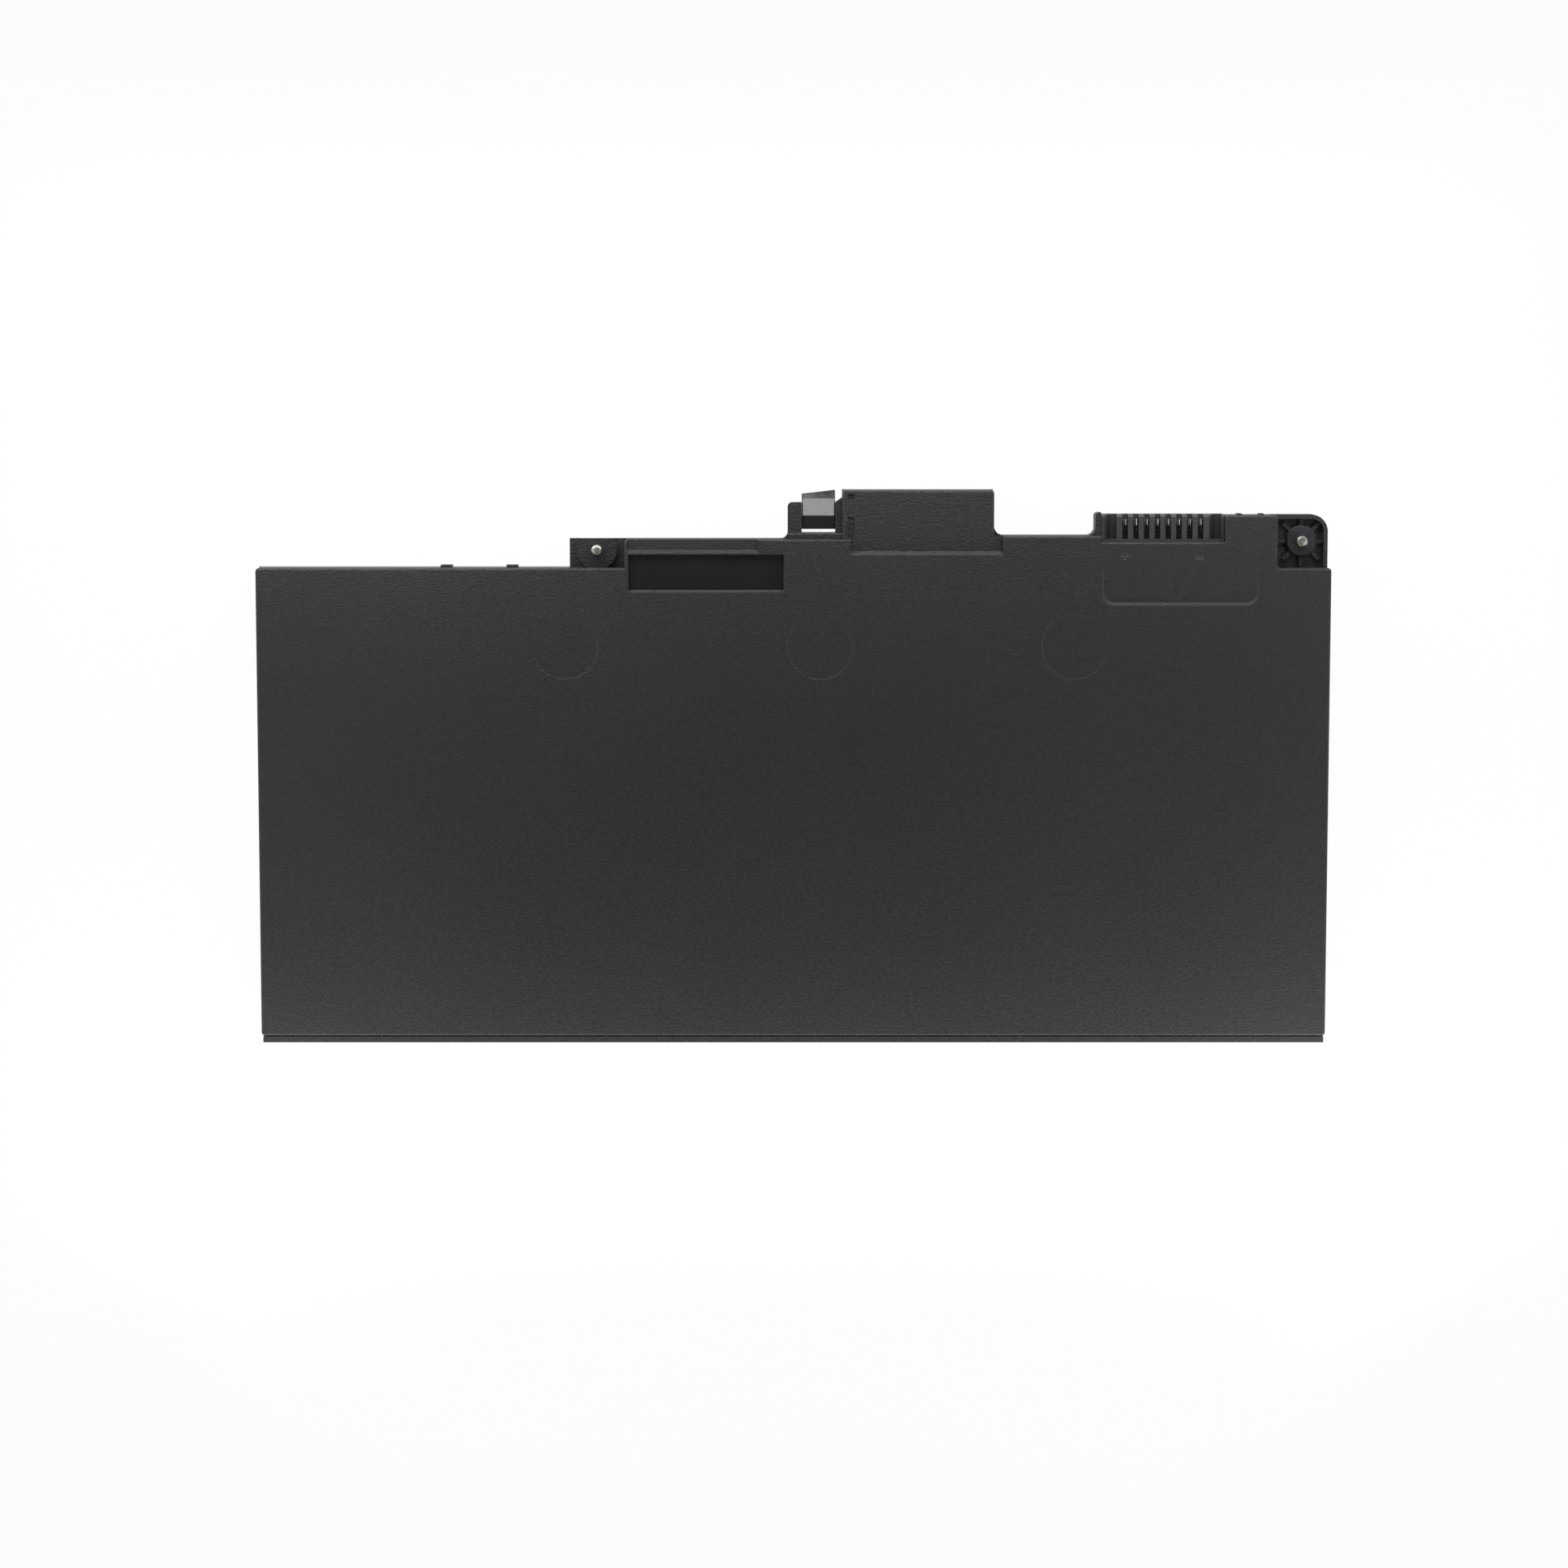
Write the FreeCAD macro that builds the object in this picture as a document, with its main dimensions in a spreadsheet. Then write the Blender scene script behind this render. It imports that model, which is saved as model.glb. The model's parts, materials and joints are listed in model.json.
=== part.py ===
import FreeCAD, Part
import math
import os
import re
import Sketcher

# A flat three-cell laptop battery pack, lying with its plain inner face up.
# X runs along the long edge, Y towards the stepped edge with the connector, Z up.
# Heights start at the underside. Lengths along Y start at the lower edge of the face.
# All sizes are in millimetres.

doc = FreeCAD.newDocument("laptop_battery")
sheet = doc.addObject("Spreadsheet::Sheet", "Sheet")

# Housing: two shells that meet at the level of the cover plate.
housing_sizes = {
    "case_width": 210.5,
    "case_height": 92.55,
    "case_thickness": 7.2,
    "face_wall": 0.9,
    "side_wall": 1.0,
    "corner_round": 0.7,
    "edge_round": 0.5,
    "cover_plate": 0.7,
    "cover_bevel": 0.25,
    "lip_gap": 0.1,
    "lip_wall": 1.25,
    "lip_inset": 0.35,
    "lip_drop": 0.12,
    "lip_bevel": 0.25,
}

# Window block: the raised block left of the middle, with a sunk window and a ledge.
window_sizes = {
    "block_left": 33.05,
    "block_rise": 5.65,
    "window_frame": 0.77,
    "window_width": 30.37,
    "window_height": 6.9,
    "window_drop": 4.26,
    "window_depth": 0.9,
    "window_bevel": 0.5,
    "film_sheet": 0.1,
    "film_clearance": 0.15,
    "ledge_inset": 0.55,
    "ledge_width": 25.6,
    "ledge_breadth": 2.06,
    "ledge_depth": 0.3,
    "ledge_slope": 0.7,
}

# Screw tabs and captive screws.
screw_sizes = {
    "left_tab_width": 10.85,
    "left_tab_floor": 3.3,
    "left_screw_inset": 5.5,
    "left_screw_rise": 3.45,
    "left_boss_radius": 3.9,
    "right_tab_width": 10.6,
    "right_tab_rise": 10.37,
    "right_tab_inset": 0.53,
    "right_tab_round": 3.3,
    "right_tab_rim": 0.8,
    "right_rim_level": 4.6,
    "right_tab_floor": 3.0,
    "right_boss_inset": 5.65,
    "right_boss_rise": 5.15,
    "right_boss_radius": 3.15,
    "boss_bevel": 0.4,
    "rib_count": 8,
    "rib_width": 0.8,
    "rib_short": 0.15,
    "rib_level": 3.65,
    "boss_web": 1.6,
    "head_stand": 0.2,
    "head_radius": 1.8,
    "head_height": 0.9,
    "head_clearance": 0.2,
    "screw_travel": 1.5,
    "neck_radius": 0.75,
    "neck_clearance": 0.1,
    "thread_radius": 1.0,
    "thread_length": 2.0,
    "thread_bevel": 0.25,
}

# Bracket and the film loop on its bar.
bracket_sizes = {
    "bracket_left": 1.12,
    "post_width": 2.74,
    "bar_length": 6.58,
    "bracket_rise": 12.75,
    "bracket_base": 6.85,
    "base_level": 5.9,
    "base_round": 0.4,
    "bracket_foot": 1.6,
    "bracket_level": 5.2,
    "post_round": 0.9,
    "post_slant": 1.3,
    "bracket_fillet": 1.4,
    "bar_rise": 7.9,
    "bar_depth": 2.1,
    "bar_drop": 0.8,
    "bar_height": 2.0,
    "pull_film": 0.2,
    "pull_clearance": 0.15,
    "pull_side": 0.08,
    "pull_join": 2.9,
    "pull_tail": 1.75,
    "pull_end_level": 0.9,
    "pull_bend": 0.3,
}

# Hump and the strip beside it.
hump_sizes = {
    "hump_left": 9.57,
    "hump_width": 29.7,
    "hump_rise": 15.2,
    "hump_drop": 0.8,
    "hump_fillet": 2.0,
    "hump_step_rise": 3.3,
    "hump_step_inset": 1.65,
    "hump_step_over": 1.71,
    "hump_step_slope": 0.8,
    "strip_rise": 6.3,
    "slit_inset": 1.06,
    "slit_width": 1.27,
    "slit_depth": 0.3,
    "slit_drop": 0.75,
    "slit_short": 0.95,
    "slit_gap": 3.5,
    "slit_long": 3.9,
}

# Connector bay at the right, its ear and the shoulder that closes it.
connector_sizes = {
    "shoulder_width": 10.26,
    "shoulder_rise": 10.32,
    "bay_width": 24.16,
    "bay_rise": 5.09,
    "ear_wall": 1.15,
    "ear_rise": 10.79,
    "ear_level": 5.7,
    "ear_fillet": 1.6,
    "panel_width": 31.0,
    "panel_drop": 7.3,
    "panel_depth": 0.35,
    "panel_slope": 0.6,
    "panel_setback": 1.2,
    "panel_round": 2.6,
    "housing_clearance": 0.1,
    "housing_rise": 10.45,
    "housing_tail": 2.4,
    "housing_level": 5.4,
    "skirt_gap": 0.05,
    "comb_width": 18.1,
    "comb_bevel": 0.5,
    "slot_count": 8,
    "slot_pitch": 2.106,
    "slot_width": 1.1,
    "slot_rise": 5.6,
    "slot_depth": 2.2,
    "guide_depth": 2.6,
    "guide_floor": 1.2,
    "guide_land": 0.5,
    "contact_sheet": 0.2,
    "contact_clearance": 0.05,
    "contact_length": 2.4,
    "contact_setback": 0.9,
    "contact_drop": 0.5,
}

# Small forms on the face and the upper wall.
form_sizes = {
    "mark_radius": 6.6,
    "mark_depth": 0.12,
    "mark_slope": 0.4,
    "mark_drop": 15.39,
    "mark_spacing": 49.9,
    "mark_shift": 5.2,
    "stop_width": 2.2,
    "stop_proud": 0.5,
    "stop_spacing": 12.9,
    "stop_inset": 36.1,
    "crush_width": 0.9,
    "crush_proud": 0.25,
    "crush_spacing": 4.3,
    "stop_level": 5.0,
    "stop_foot": 1.6,
}

# Cells and what joins them.
cell_sizes = {
    "cell_gap": 1.2,
    "cell_clearance": 0.4,
    "cell_swell": 0.2,
    "cell_round": 1.2,
    "cell_tape": 0.15,
    "tape_inset": 3.0,
    "terrace_length": 3.0,
    "terrace_inset": 4.0,
    "terrace_seal": 0.15,
    "tab_strip": 0.15,
    "tab_width": 8.0,
    "tab_spacing": 38.0,
    "tab_long": 4.4,
    "tab_short": 2.4,
    "bus_sheet": 0.2,
    "bus_width": 1.4,
    "bus_inset": 0.8,
    "bus_pitch": 2.0,
    "bus_landing": 3.5,
    "negative_bus": 16.0,
}

# Protection board and what stands on it.
board_sizes = {
    "board_setback": 5.15,
    "board_depth": 6.8,
    "board_thickness": 0.8,
    "board_stand": 0.5,
    "board_clearance": 0.6,
    "cell_to_board": 1.2,
    "stand_width": 0.8,
    "stand_inset": 0.6,
    "chip_bevel": 0.1,
    "transistor_side": 3.3,
    "transistor_height": 1.0,
    "transistor_inset": 4.2,
    "transistor_pitch": 4.6,
    "gauge_side": 4.0,
    "gauge_height": 0.9,
    "gauge_inset": 6.2,
    "upper_row": 9.4,
    "lower_row": 4.6,
    "fuse_length": 4.0,
    "fuse_width": 3.0,
    "fuse_height": 1.2,
    "shunt_length": 6.3,
    "shunt_width": 3.1,
    "shunt_height": 0.7,
    "capacitor_length": 1.6,
    "capacitor_width": 0.8,
    "capacitor_height": 0.8,
    "capacitor_pitch": 2.6,
    "capacitor_count": 3,
    "capacitor_inset": 5.0,
    "small_row": 0.6,
    "thermistor_length": 1.6,
    "thermistor_width": 0.8,
    "thermistor_height": 0.6,
    "thermistor_offset": 4.0,
}

# Every size becomes a cell of the sheet, with its name as the alias.
sizes = {**housing_sizes, **window_sizes, **screw_sizes, **bracket_sizes, **hump_sizes,
         **connector_sizes, **form_sizes, **cell_sizes, **board_sizes}
for row, (alias, number) in enumerate(sizes.items(), 1):
    sheet.set(f"A{row}", alias)
    sheet.set(f"B{row}", str(number))
    sheet.setAlias(f"B{row}", alias)
doc.recompute()

# Places that several pieces share, as formulas of the sizes above.
right = "case_width / 2"
top = "case_height"
face = "case_thickness"
ceiling = "(case_thickness - face_wall)"
seam = "cover_plate"
lip_foot = "(lip_gap + lip_wall)"
hump_top = "(case_height + hump_rise)"
middle = f"(({hump_top} - {lip_foot}) / 2)"
tab_edge = f"({right} - right_tab_width)"
bay_right = f"({tab_edge} - shoulder_width)"
bay_left = f"({bay_right} - bay_width)"
bay_middle = f"({bay_right} - bay_width / 2)"
bay_foot = "(case_height + bay_rise)"
ear_left = f"({bay_left} - ear_wall)"
hump_right = "(hump_left + hump_width)"
hump_middle = "(hump_left + hump_width / 2)"
hump_level = "(case_thickness - hump_drop)"
hump_step = "(case_height + hump_step_rise)"
hump_step_right = f"({hump_right} + hump_step_over)"
block_top = "(case_height + block_rise)"
strip_top = "(case_height + strip_rise)"
shoulder_top = "(case_height + shoulder_rise)"
window_left = "(window_frame - block_left)"
window_right = f"({window_left} + window_width)"
window_foot = "(case_height - window_drop)"
window_floor = "(case_thickness - window_depth)"
left_screw = ("(-block_left - left_screw_inset)", "(case_height + left_screw_rise)")
right_screw = (f"({right} - right_boss_inset)", "(case_height + right_boss_rise)")
screw_seat = "(head_stand + head_height + screw_travel)"
boss_level = f"({screw_seat} + boss_web)"
board_front = "(case_height - board_setback)"
board_back = f"({board_front} + board_depth)"
board_foot = "(cover_plate + board_stand)"
board_top = f"({board_foot} + board_thickness)"
board_left = "(side_wall + board_clearance - block_left)"
board_right = f"({tab_edge} - side_wall - board_clearance)"
cell_width = "((case_width - 2 * (side_wall + cell_clearance + cell_gap)) / 3)"
cell_pitch = f"({cell_width} + cell_gap)"
cell_foot = "(cover_plate + cell_tape)"
cell_top = f"({ceiling} - cell_swell)"
terrace_end = f"({board_front} - cell_to_board)"
cell_end = f"({terrace_end} - terrace_length)"
cell_start = "(side_wall + cell_clearance)"
housing_front = "(case_height + housing_rise)"
tongue_end = f"({housing_front} - side_wall - board_clearance)"


def bound(formula):
    # Each word of a formula that names a size becomes a reference to its cell.
    return re.sub(r"[a-z_]+", lambda word: f"Sheet.{word[0]}" if word[0] in sizes else word[0], formula)


def value(formula):
    return float(sheet.evalExpression(bound(formula)))


def new_body(label):
    body = doc.addObject("PartDesign::Body", label)
    body.Label = label
    return body


def new_piece(label):
    # A piece is a body whose Y is counted from the middle of the whole part.
    body = new_body(label)
    body.setExpression("Placement.Base.y", bound(f"-{middle}"))
    return body


def new_sketch(body, name, level="0", plane="XY_Plane", shift=("0", "0")):
    sketch = body.newObject("Sketcher::SketchObject", f"{body.Name}_{name}")
    base = next(item for item in body.Origin.OriginFeatures if item.Role == plane)
    sketch.AttachmentSupport = [(base, "")]
    sketch.MapMode = "FlatFace"
    sketch.setExpression("AttachmentOffset.Base.x", bound(shift[0]))
    sketch.setExpression("AttachmentOffset.Base.y", bound(shift[1]))
    sketch.setExpression("AttachmentOffset.Base.z", bound(level))
    return sketch


def tie(sketch, rules):
    # Each rule is a constraint's beginning and the formula of its size.
    first = sketch.ConstraintCount
    sketch.addConstraint([Sketcher.Constraint(*begin, value(formula)) for begin, formula in rules])
    for index, (begin, formula) in enumerate(rules):
        sketch.setExpression(f"Constraints[{first + index}]", bound(formula))


def add_outline(sketch, points):
    corners = [FreeCAD.Vector(value(x), value(y), 0) for x, y in points]
    first = sketch.GeometryCount
    count = len(points)
    sketch.addGeometry([Part.LineSegment(corners[i], corners[(i + 1) % count]) for i in range(count)], False)
    joins = [("Coincident", first + i, 2, first + (i + 1) % count, 1) for i in range(count)]
    sketch.addConstraint([Sketcher.Constraint(*join) for join in joins])
    rules = []
    for i, (x, y) in enumerate(points):
        rules.append((("DistanceX", -1, 1, first + i, 1), x))
        rules.append((("DistanceY", -1, 1, first + i, 1), y))
    tie(sketch, rules)


def add_quarter_outline(sketch, x_low, x_high, y_low, y_high, radius):
    # A rectangle whose upper right corner is an arc.
    ends = [(x_low, y_high), (x_low, y_low), (x_high, y_low), (x_high, f"{y_high} - {radius}"),
            (f"{x_high} - {radius}", y_high)]
    spots = [FreeCAD.Vector(value(x), value(y), 0) for x, y in ends]
    centre = FreeCAD.Vector(spots[4].x, spots[3].y, 0)
    circle = Part.Circle(centre, FreeCAD.Vector(0, 0, 1), value(radius))
    pieces = [Part.LineSegment(spots[i], spots[i + 1]) for i in range(3)]
    pieces.append(Part.ArcOfCircle(circle, 0, math.pi / 2))
    pieces.append(Part.LineSegment(spots[4], spots[0]))
    sketch.addGeometry(pieces, False)
    sketch.addConstraint([Sketcher.Constraint("Coincident", i, 2, (i + 1) % 5, 1) for i in range(5)])
    rules = [(("Radius", 3), radius)]
    for line, (x, y) in zip((0, 1, 2), ends):
        rules.append((("DistanceX", -1, 1, line, 1), x))
        rules.append((("DistanceY", -1, 1, line, 1), y))
    for (line, end), (x, y) in zip(((2, 2), (4, 1)), ends[3:]):
        rules.append((("DistanceX", -1, 1, line, end), x))
        rules.append((("DistanceY", -1, 1, line, end), y))
    tie(sketch, rules)


def add_round_foot_outline(sketch, x_low, x_high, y_low, y_high, radius):
    # A rectangle whose two lower corners are arcs.
    ends = [(x_low, y_high), (x_low, f"{y_low} + {radius}"), (f"{x_low} + {radius}", y_low),
            (f"{x_high} - {radius}", y_low), (x_high, f"{y_low} + {radius}"), (x_high, y_high)]
    spots = [FreeCAD.Vector(value(x), value(y), 0) for x, y in ends]
    upward = FreeCAD.Vector(0, 0, 1)
    left_circle = Part.Circle(FreeCAD.Vector(spots[2].x, spots[1].y, 0), upward, value(radius))
    right_circle = Part.Circle(FreeCAD.Vector(spots[3].x, spots[4].y, 0), upward, value(radius))
    sketch.addGeometry([
        Part.LineSegment(spots[0], spots[1]),
        Part.ArcOfCircle(left_circle, math.pi, 1.5 * math.pi),
        Part.LineSegment(spots[2], spots[3]),
        Part.ArcOfCircle(right_circle, 1.5 * math.pi, 2 * math.pi),
        Part.LineSegment(spots[4], spots[5]),
        Part.LineSegment(spots[5], spots[0]),
    ], False)
    sketch.addConstraint([Sketcher.Constraint("Coincident", i, 2, (i + 1) % 6, 1) for i in range(6)])
    rules = [(("Radius", 1), radius), (("Radius", 3), radius)]
    for (line, end), (x, y) in zip(((0, 1), (0, 2), (2, 1), (2, 2), (4, 1), (4, 2)), ends):
        rules.append((("DistanceX", -1, 1, line, end), x))
        rules.append((("DistanceY", -1, 1, line, end), y))
    tie(sketch, rules)


def add_circle(sketch, centre, radius):
    x, y = centre
    circle = sketch.GeometryCount
    spot = FreeCAD.Vector(value(x), value(y), 0)
    sketch.addGeometry(Part.Circle(spot, FreeCAD.Vector(0, 0, 1), value(radius)), False)
    tie(sketch, [
        (("DistanceX", -1, 1, circle, 3), x),
        (("DistanceY", -1, 1, circle, 3), y),
        (("Radius", circle), radius),
    ])


def rectangle(x_low, x_high, y_low, y_high):
    return [(x_low, y_low), (x_high, y_low), (x_high, y_high), (x_low, y_high)]


def pad(body, sketch, height):
    feature = body.newObject("PartDesign::Pad", f"{sketch.Name}_pad")
    feature.Profile = sketch
    feature.setExpression("Length", bound(height))
    feature.Refine = False
    return feature


def pad_outline(body, name, points, foot, level):
    sketch = new_sketch(body, name, foot)
    add_outline(sketch, points)
    return pad(body, sketch, f"{level} - {foot}")


def pad_circle(body, name, centre, radius, foot, level):
    sketch = new_sketch(body, name, foot)
    add_circle(sketch, centre, radius)
    return pad(body, sketch, f"{level} - {foot}")


def pocket(body, sketch, depth, along=False):
    feature = body.newObject("PartDesign::Pocket", f"{sketch.Name}_pocket")
    feature.Profile = sketch
    feature.setExpression("Length", bound(depth))
    # A pocket runs against its sketch's normal, unless it is told to run along it.
    feature.Reversed = along
    feature.Refine = False
    return feature


def cut_outline(body, name, points, level, depth, along=False):
    sketch = new_sketch(body, name, level)
    add_outline(sketch, points)
    return pocket(body, sketch, depth, along)


def cut_circle(body, name, centre, radius, level, depth, along=False):
    sketch = new_sketch(body, name, level)
    add_circle(sketch, centre, radius)
    return pocket(body, sketch, depth, along)


def edges_within(feature, x_range, y_range, z_range):
    # Names of the edges that lie wholly in a box.
    doc.recompute()
    slack = 0.001
    limits = [(value(low) - slack, value(high) + slack) for low, high in (x_range, y_range, z_range)]
    names = []
    for number, edge in enumerate(feature.Shape.Edges, 1):
        box = edge.BoundBox
        spans = ((box.XMin, box.XMax), (box.YMin, box.YMax), (box.ZMin, box.ZMax))
        if all(low <= a and b <= high for (a, b), (low, high) in zip(spans, limits)):
            names.append(f"Edge{number}")
    return names


def upright_edges(feature, places, z_range):
    names = []
    for x, y in places:
        names += edges_within(feature, (x, x), (y, y), z_range)
    return names


def soften(body, kind, base, names, size):
    # Rounds or bevels the named edges of the feature base.
    if not names:
        raise RuntimeError(f"no edge of {base.Name} lies where its {kind} is wanted")
    feature = body.newObject(f"PartDesign::{kind}", f"{base.Name}_{kind.lower()}")
    feature.Base = (base, names)
    feature.setExpression("Radius" if kind == "Fillet" else "Size", bound(size))
    feature.Refine = False
    doc.recompute()
    return feature


def repeat_along_x(body, sketch, feature, length, count):
    pattern = body.newObject("PartDesign::LinearPattern", f"{feature.Name}_row")
    pattern.Originals = [feature]
    pattern.Direction = (sketch, ["H_Axis"])
    pattern.setExpression("Length", bound(length))
    pattern.setExpression("Occurrences", bound(count))
    body.Tip = pattern
    return pattern


def make_block(label, x_low, x_high, y_low, y_high, foot, level):
    block = doc.addObject("Part::Box", label)
    block.Label = label
    block.setExpression("Length", bound(f"{x_high} - {x_low}"))
    block.setExpression("Width", bound(f"{y_high} - {y_low}"))
    block.setExpression("Height", bound(f"{level} - {foot}"))
    block.setExpression("Placement.Base.x", bound(x_low))
    block.setExpression("Placement.Base.y", bound(f"{y_low} - {middle}"))
    block.setExpression("Placement.Base.z", bound(foot))
    return block


def make_chip(label, x, y, length, width, height):
    body = new_piece(label)
    outline = rectangle(f"{x} - {length} / 2", f"{x} + {length} / 2", f"{y} - {width} / 2",
                        f"{y} + {width} / 2")
    level = f"({board_top} + {height})"
    block = pad_outline(body, "package", outline, board_top, level)
    upper = edges_within(block, (f"{x} - {length}", f"{x} + {length}"), (f"{y} - {width}", f"{y} + {width}"),
                         (level, level))
    soften(body, "Chamfer", block, upper, "chip_bevel")
    return body


def add_main_block(body):
    outline = [
        (f"-{right}", "0"),
        (right, "0"),
        (right, top),
        (tab_edge, top),
        (tab_edge, shoulder_top),
        (bay_right, shoulder_top),
        (bay_right, bay_foot),
        (bay_left, bay_foot),
        (bay_left, strip_top),
        (hump_middle, strip_top),
        (hump_middle, block_top),
        ("-block_left", block_top),
        ("-block_left", top),
        (f"-{right}", top),
    ]
    block = pad_outline(body, "block", outline, seam, face)
    corners = [(f"-{right}", "0"), (right, "0"), (right, top), (tab_edge, top), (tab_edge, shoulder_top),
               (bay_right, shoulder_top), ("-block_left", block_top), (f"-{right}", top)]
    rounded = soften(body, "Fillet", block, upright_edges(block, corners, (seam, face)), "corner_round")
    # The two short steps of the outline, in the hump and at the bay, stay sharp.
    stretches = [
        ((f"-{right}", right), ("0", top)),
        (("-block_left", hump_middle), (top, block_top)),
        ((hump_middle, bay_left), (strip_top, strip_top)),
        ((bay_left, bay_right), (bay_foot, bay_foot)),
        ((bay_right, f"{tab_edge} + corner_round"), (top, shoulder_top)),
    ]
    rim = []
    for x_range, y_range in stretches:
        rim += edges_within(rounded, x_range, y_range, (face, face))
    soften(body, "Fillet", rounded, sorted(set(rim)), "edge_round")


def add_hump(body):
    # The root carries the inside corner's fillet and stays below the rounded rim.
    outline = rectangle("hump_left", hump_right, f"{hump_step} - side_wall", hump_top)
    root_level = f"({hump_level} - 2 * edge_round)"
    root = pad_outline(body, "hump_root", outline, seam, root_level)
    inner = edges_within(root, (hump_right, hump_right), (strip_top, strip_top), (seam, root_level))
    soften(body, "Fillet", root, inner, "hump_fillet")
    hump = pad_outline(body, "hump", outline, root_level, hump_level)
    corners = [("hump_left", hump_top), (hump_right, hump_top)]
    rounded = soften(body, "Fillet", hump, upright_edges(hump, corners, (seam, hump_level)), "corner_round")
    level = (hump_level, hump_level)
    rim = edges_within(rounded, ("hump_left", hump_right), (f"{hump_top} - corner_round", hump_top), level)
    rim += edges_within(rounded, ("hump_left", "hump_left"), (block_top, hump_top), level)
    rim += edges_within(rounded, (hump_right, hump_right), (strip_top, hump_top), level)
    soften(body, "Fillet", rounded, rim, "edge_round")
    step_left = "(hump_left + hump_step_inset)"
    beyond = f"({strip_top} + side_wall)"
    step = new_sketch(body, "hump_step", step_left, "YZ_Plane")
    add_outline(step, [
        (f"{hump_step} - hump_step_slope", face),
        (hump_step, hump_level),
        (beyond, hump_level),
        (beyond, face),
    ])
    pocket(body, step, f"{hump_step_right} - {step_left}", along=True)
    slit_left = "(hump_left + slit_inset)"
    slit_right = f"({slit_left} + slit_width)"
    slit_top = f"({hump_top} - slit_drop)"
    slit_middle = f"({slit_top} - slit_short - slit_gap)"
    slits = new_sketch(body, "slits", hump_level)
    add_outline(slits, rectangle(slit_left, slit_right, f"{slit_top} - slit_short", slit_top))
    add_outline(slits, rectangle(slit_left, slit_right, f"{slit_middle} - slit_long", slit_middle))
    pocket(body, slits, "slit_depth")


def add_ear(body):
    outline = rectangle(ear_left, bay_left, f"{bay_foot} - side_wall", "case_height + ear_rise")
    ear = pad_outline(body, "ear", outline, seam, "ear_level")
    inner = edges_within(ear, (ear_left, ear_left), (strip_top, strip_top), (seam, "ear_level"))
    filled = soften(body, "Fillet", ear, inner, "ear_fillet")
    corner = [(ear_left, "case_height + ear_rise")]
    soften(body, "Fillet", filled, upright_edges(filled, corner, (seam, "ear_level")), "corner_round")


def make_left_tab():
    body = new_body("left_tab")
    outer = "(-block_left - left_tab_width)"
    outline = rectangle(outer, "window_frame - block_left", f"{top} - side_wall", block_top)
    pad_outline(body, "floor", outline, seam, "left_tab_floor")
    pad_circle(body, "boss", left_screw, "left_boss_radius", "left_tab_floor", boss_level)
    trim = rectangle(outer, "-block_left", block_top, f"{block_top} + left_boss_radius")
    cut_outline(body, "boss_trim", trim, boss_level, f"{boss_level} - left_tab_floor")
    cut_screw_bore(body, left_screw)
    return body


def make_right_tab():
    body = new_body("right_tab")
    edge = f"({right} - right_tab_inset)"
    peak = "(case_height + right_tab_rise)"
    outline = new_sketch(body, "rim", seam)
    add_quarter_outline(outline, f"{tab_edge} - side_wall", edge, f"{top} - side_wall", peak,
                        "right_tab_round")
    pad(body, outline, f"right_rim_level - {seam}")
    well = new_sketch(body, "well", "right_rim_level")
    add_quarter_outline(well, tab_edge, f"{edge} - right_tab_rim", top, f"{peak} - right_tab_rim",
                        "(right_tab_round - right_tab_rim)")
    pocket(body, well, "right_rim_level - right_tab_floor")
    rib_sketch = new_sketch(body, "rib", "right_tab_floor", shift=right_screw)
    reach = "right_boss_inset - right_tab_inset - right_tab_rim * rib_short"
    add_outline(rib_sketch, rectangle("0", reach, "-rib_width / 2", "rib_width / 2"))
    rib = pad(body, rib_sketch, "rib_level - right_tab_floor")
    star = body.newObject("PartDesign::PolarPattern", "right_tab_ribs")
    star.Originals = [rib]
    star.Axis = (rib_sketch, ["N_Axis"])
    star.Angle = 360
    star.setExpression("Occurrences", bound("rib_count"))
    body.Tip = star
    boss = pad_circle(body, "boss", right_screw, "right_boss_radius", "right_tab_floor", boss_level)
    x, y = right_screw
    reach = "right_boss_radius"
    crown = edges_within(boss, (f"{x} - {reach}", f"{x} + {reach}"), (f"{y} - {reach}", f"{y} + {reach}"),
                         (boss_level, boss_level))
    soften(body, "Chamfer", boss, crown, "boss_bevel")
    cut_screw_bore(body, right_screw)
    return body


def cut_screw_bore(body, centre):
    cut_circle(body, "bore", centre, "neck_radius + neck_clearance", boss_level, f"{boss_level} - {seam}")
    cut_circle(body, "counterbore", centre, "head_radius + head_clearance", seam, f"{screw_seat} - {seam}",
               along=True)


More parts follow.
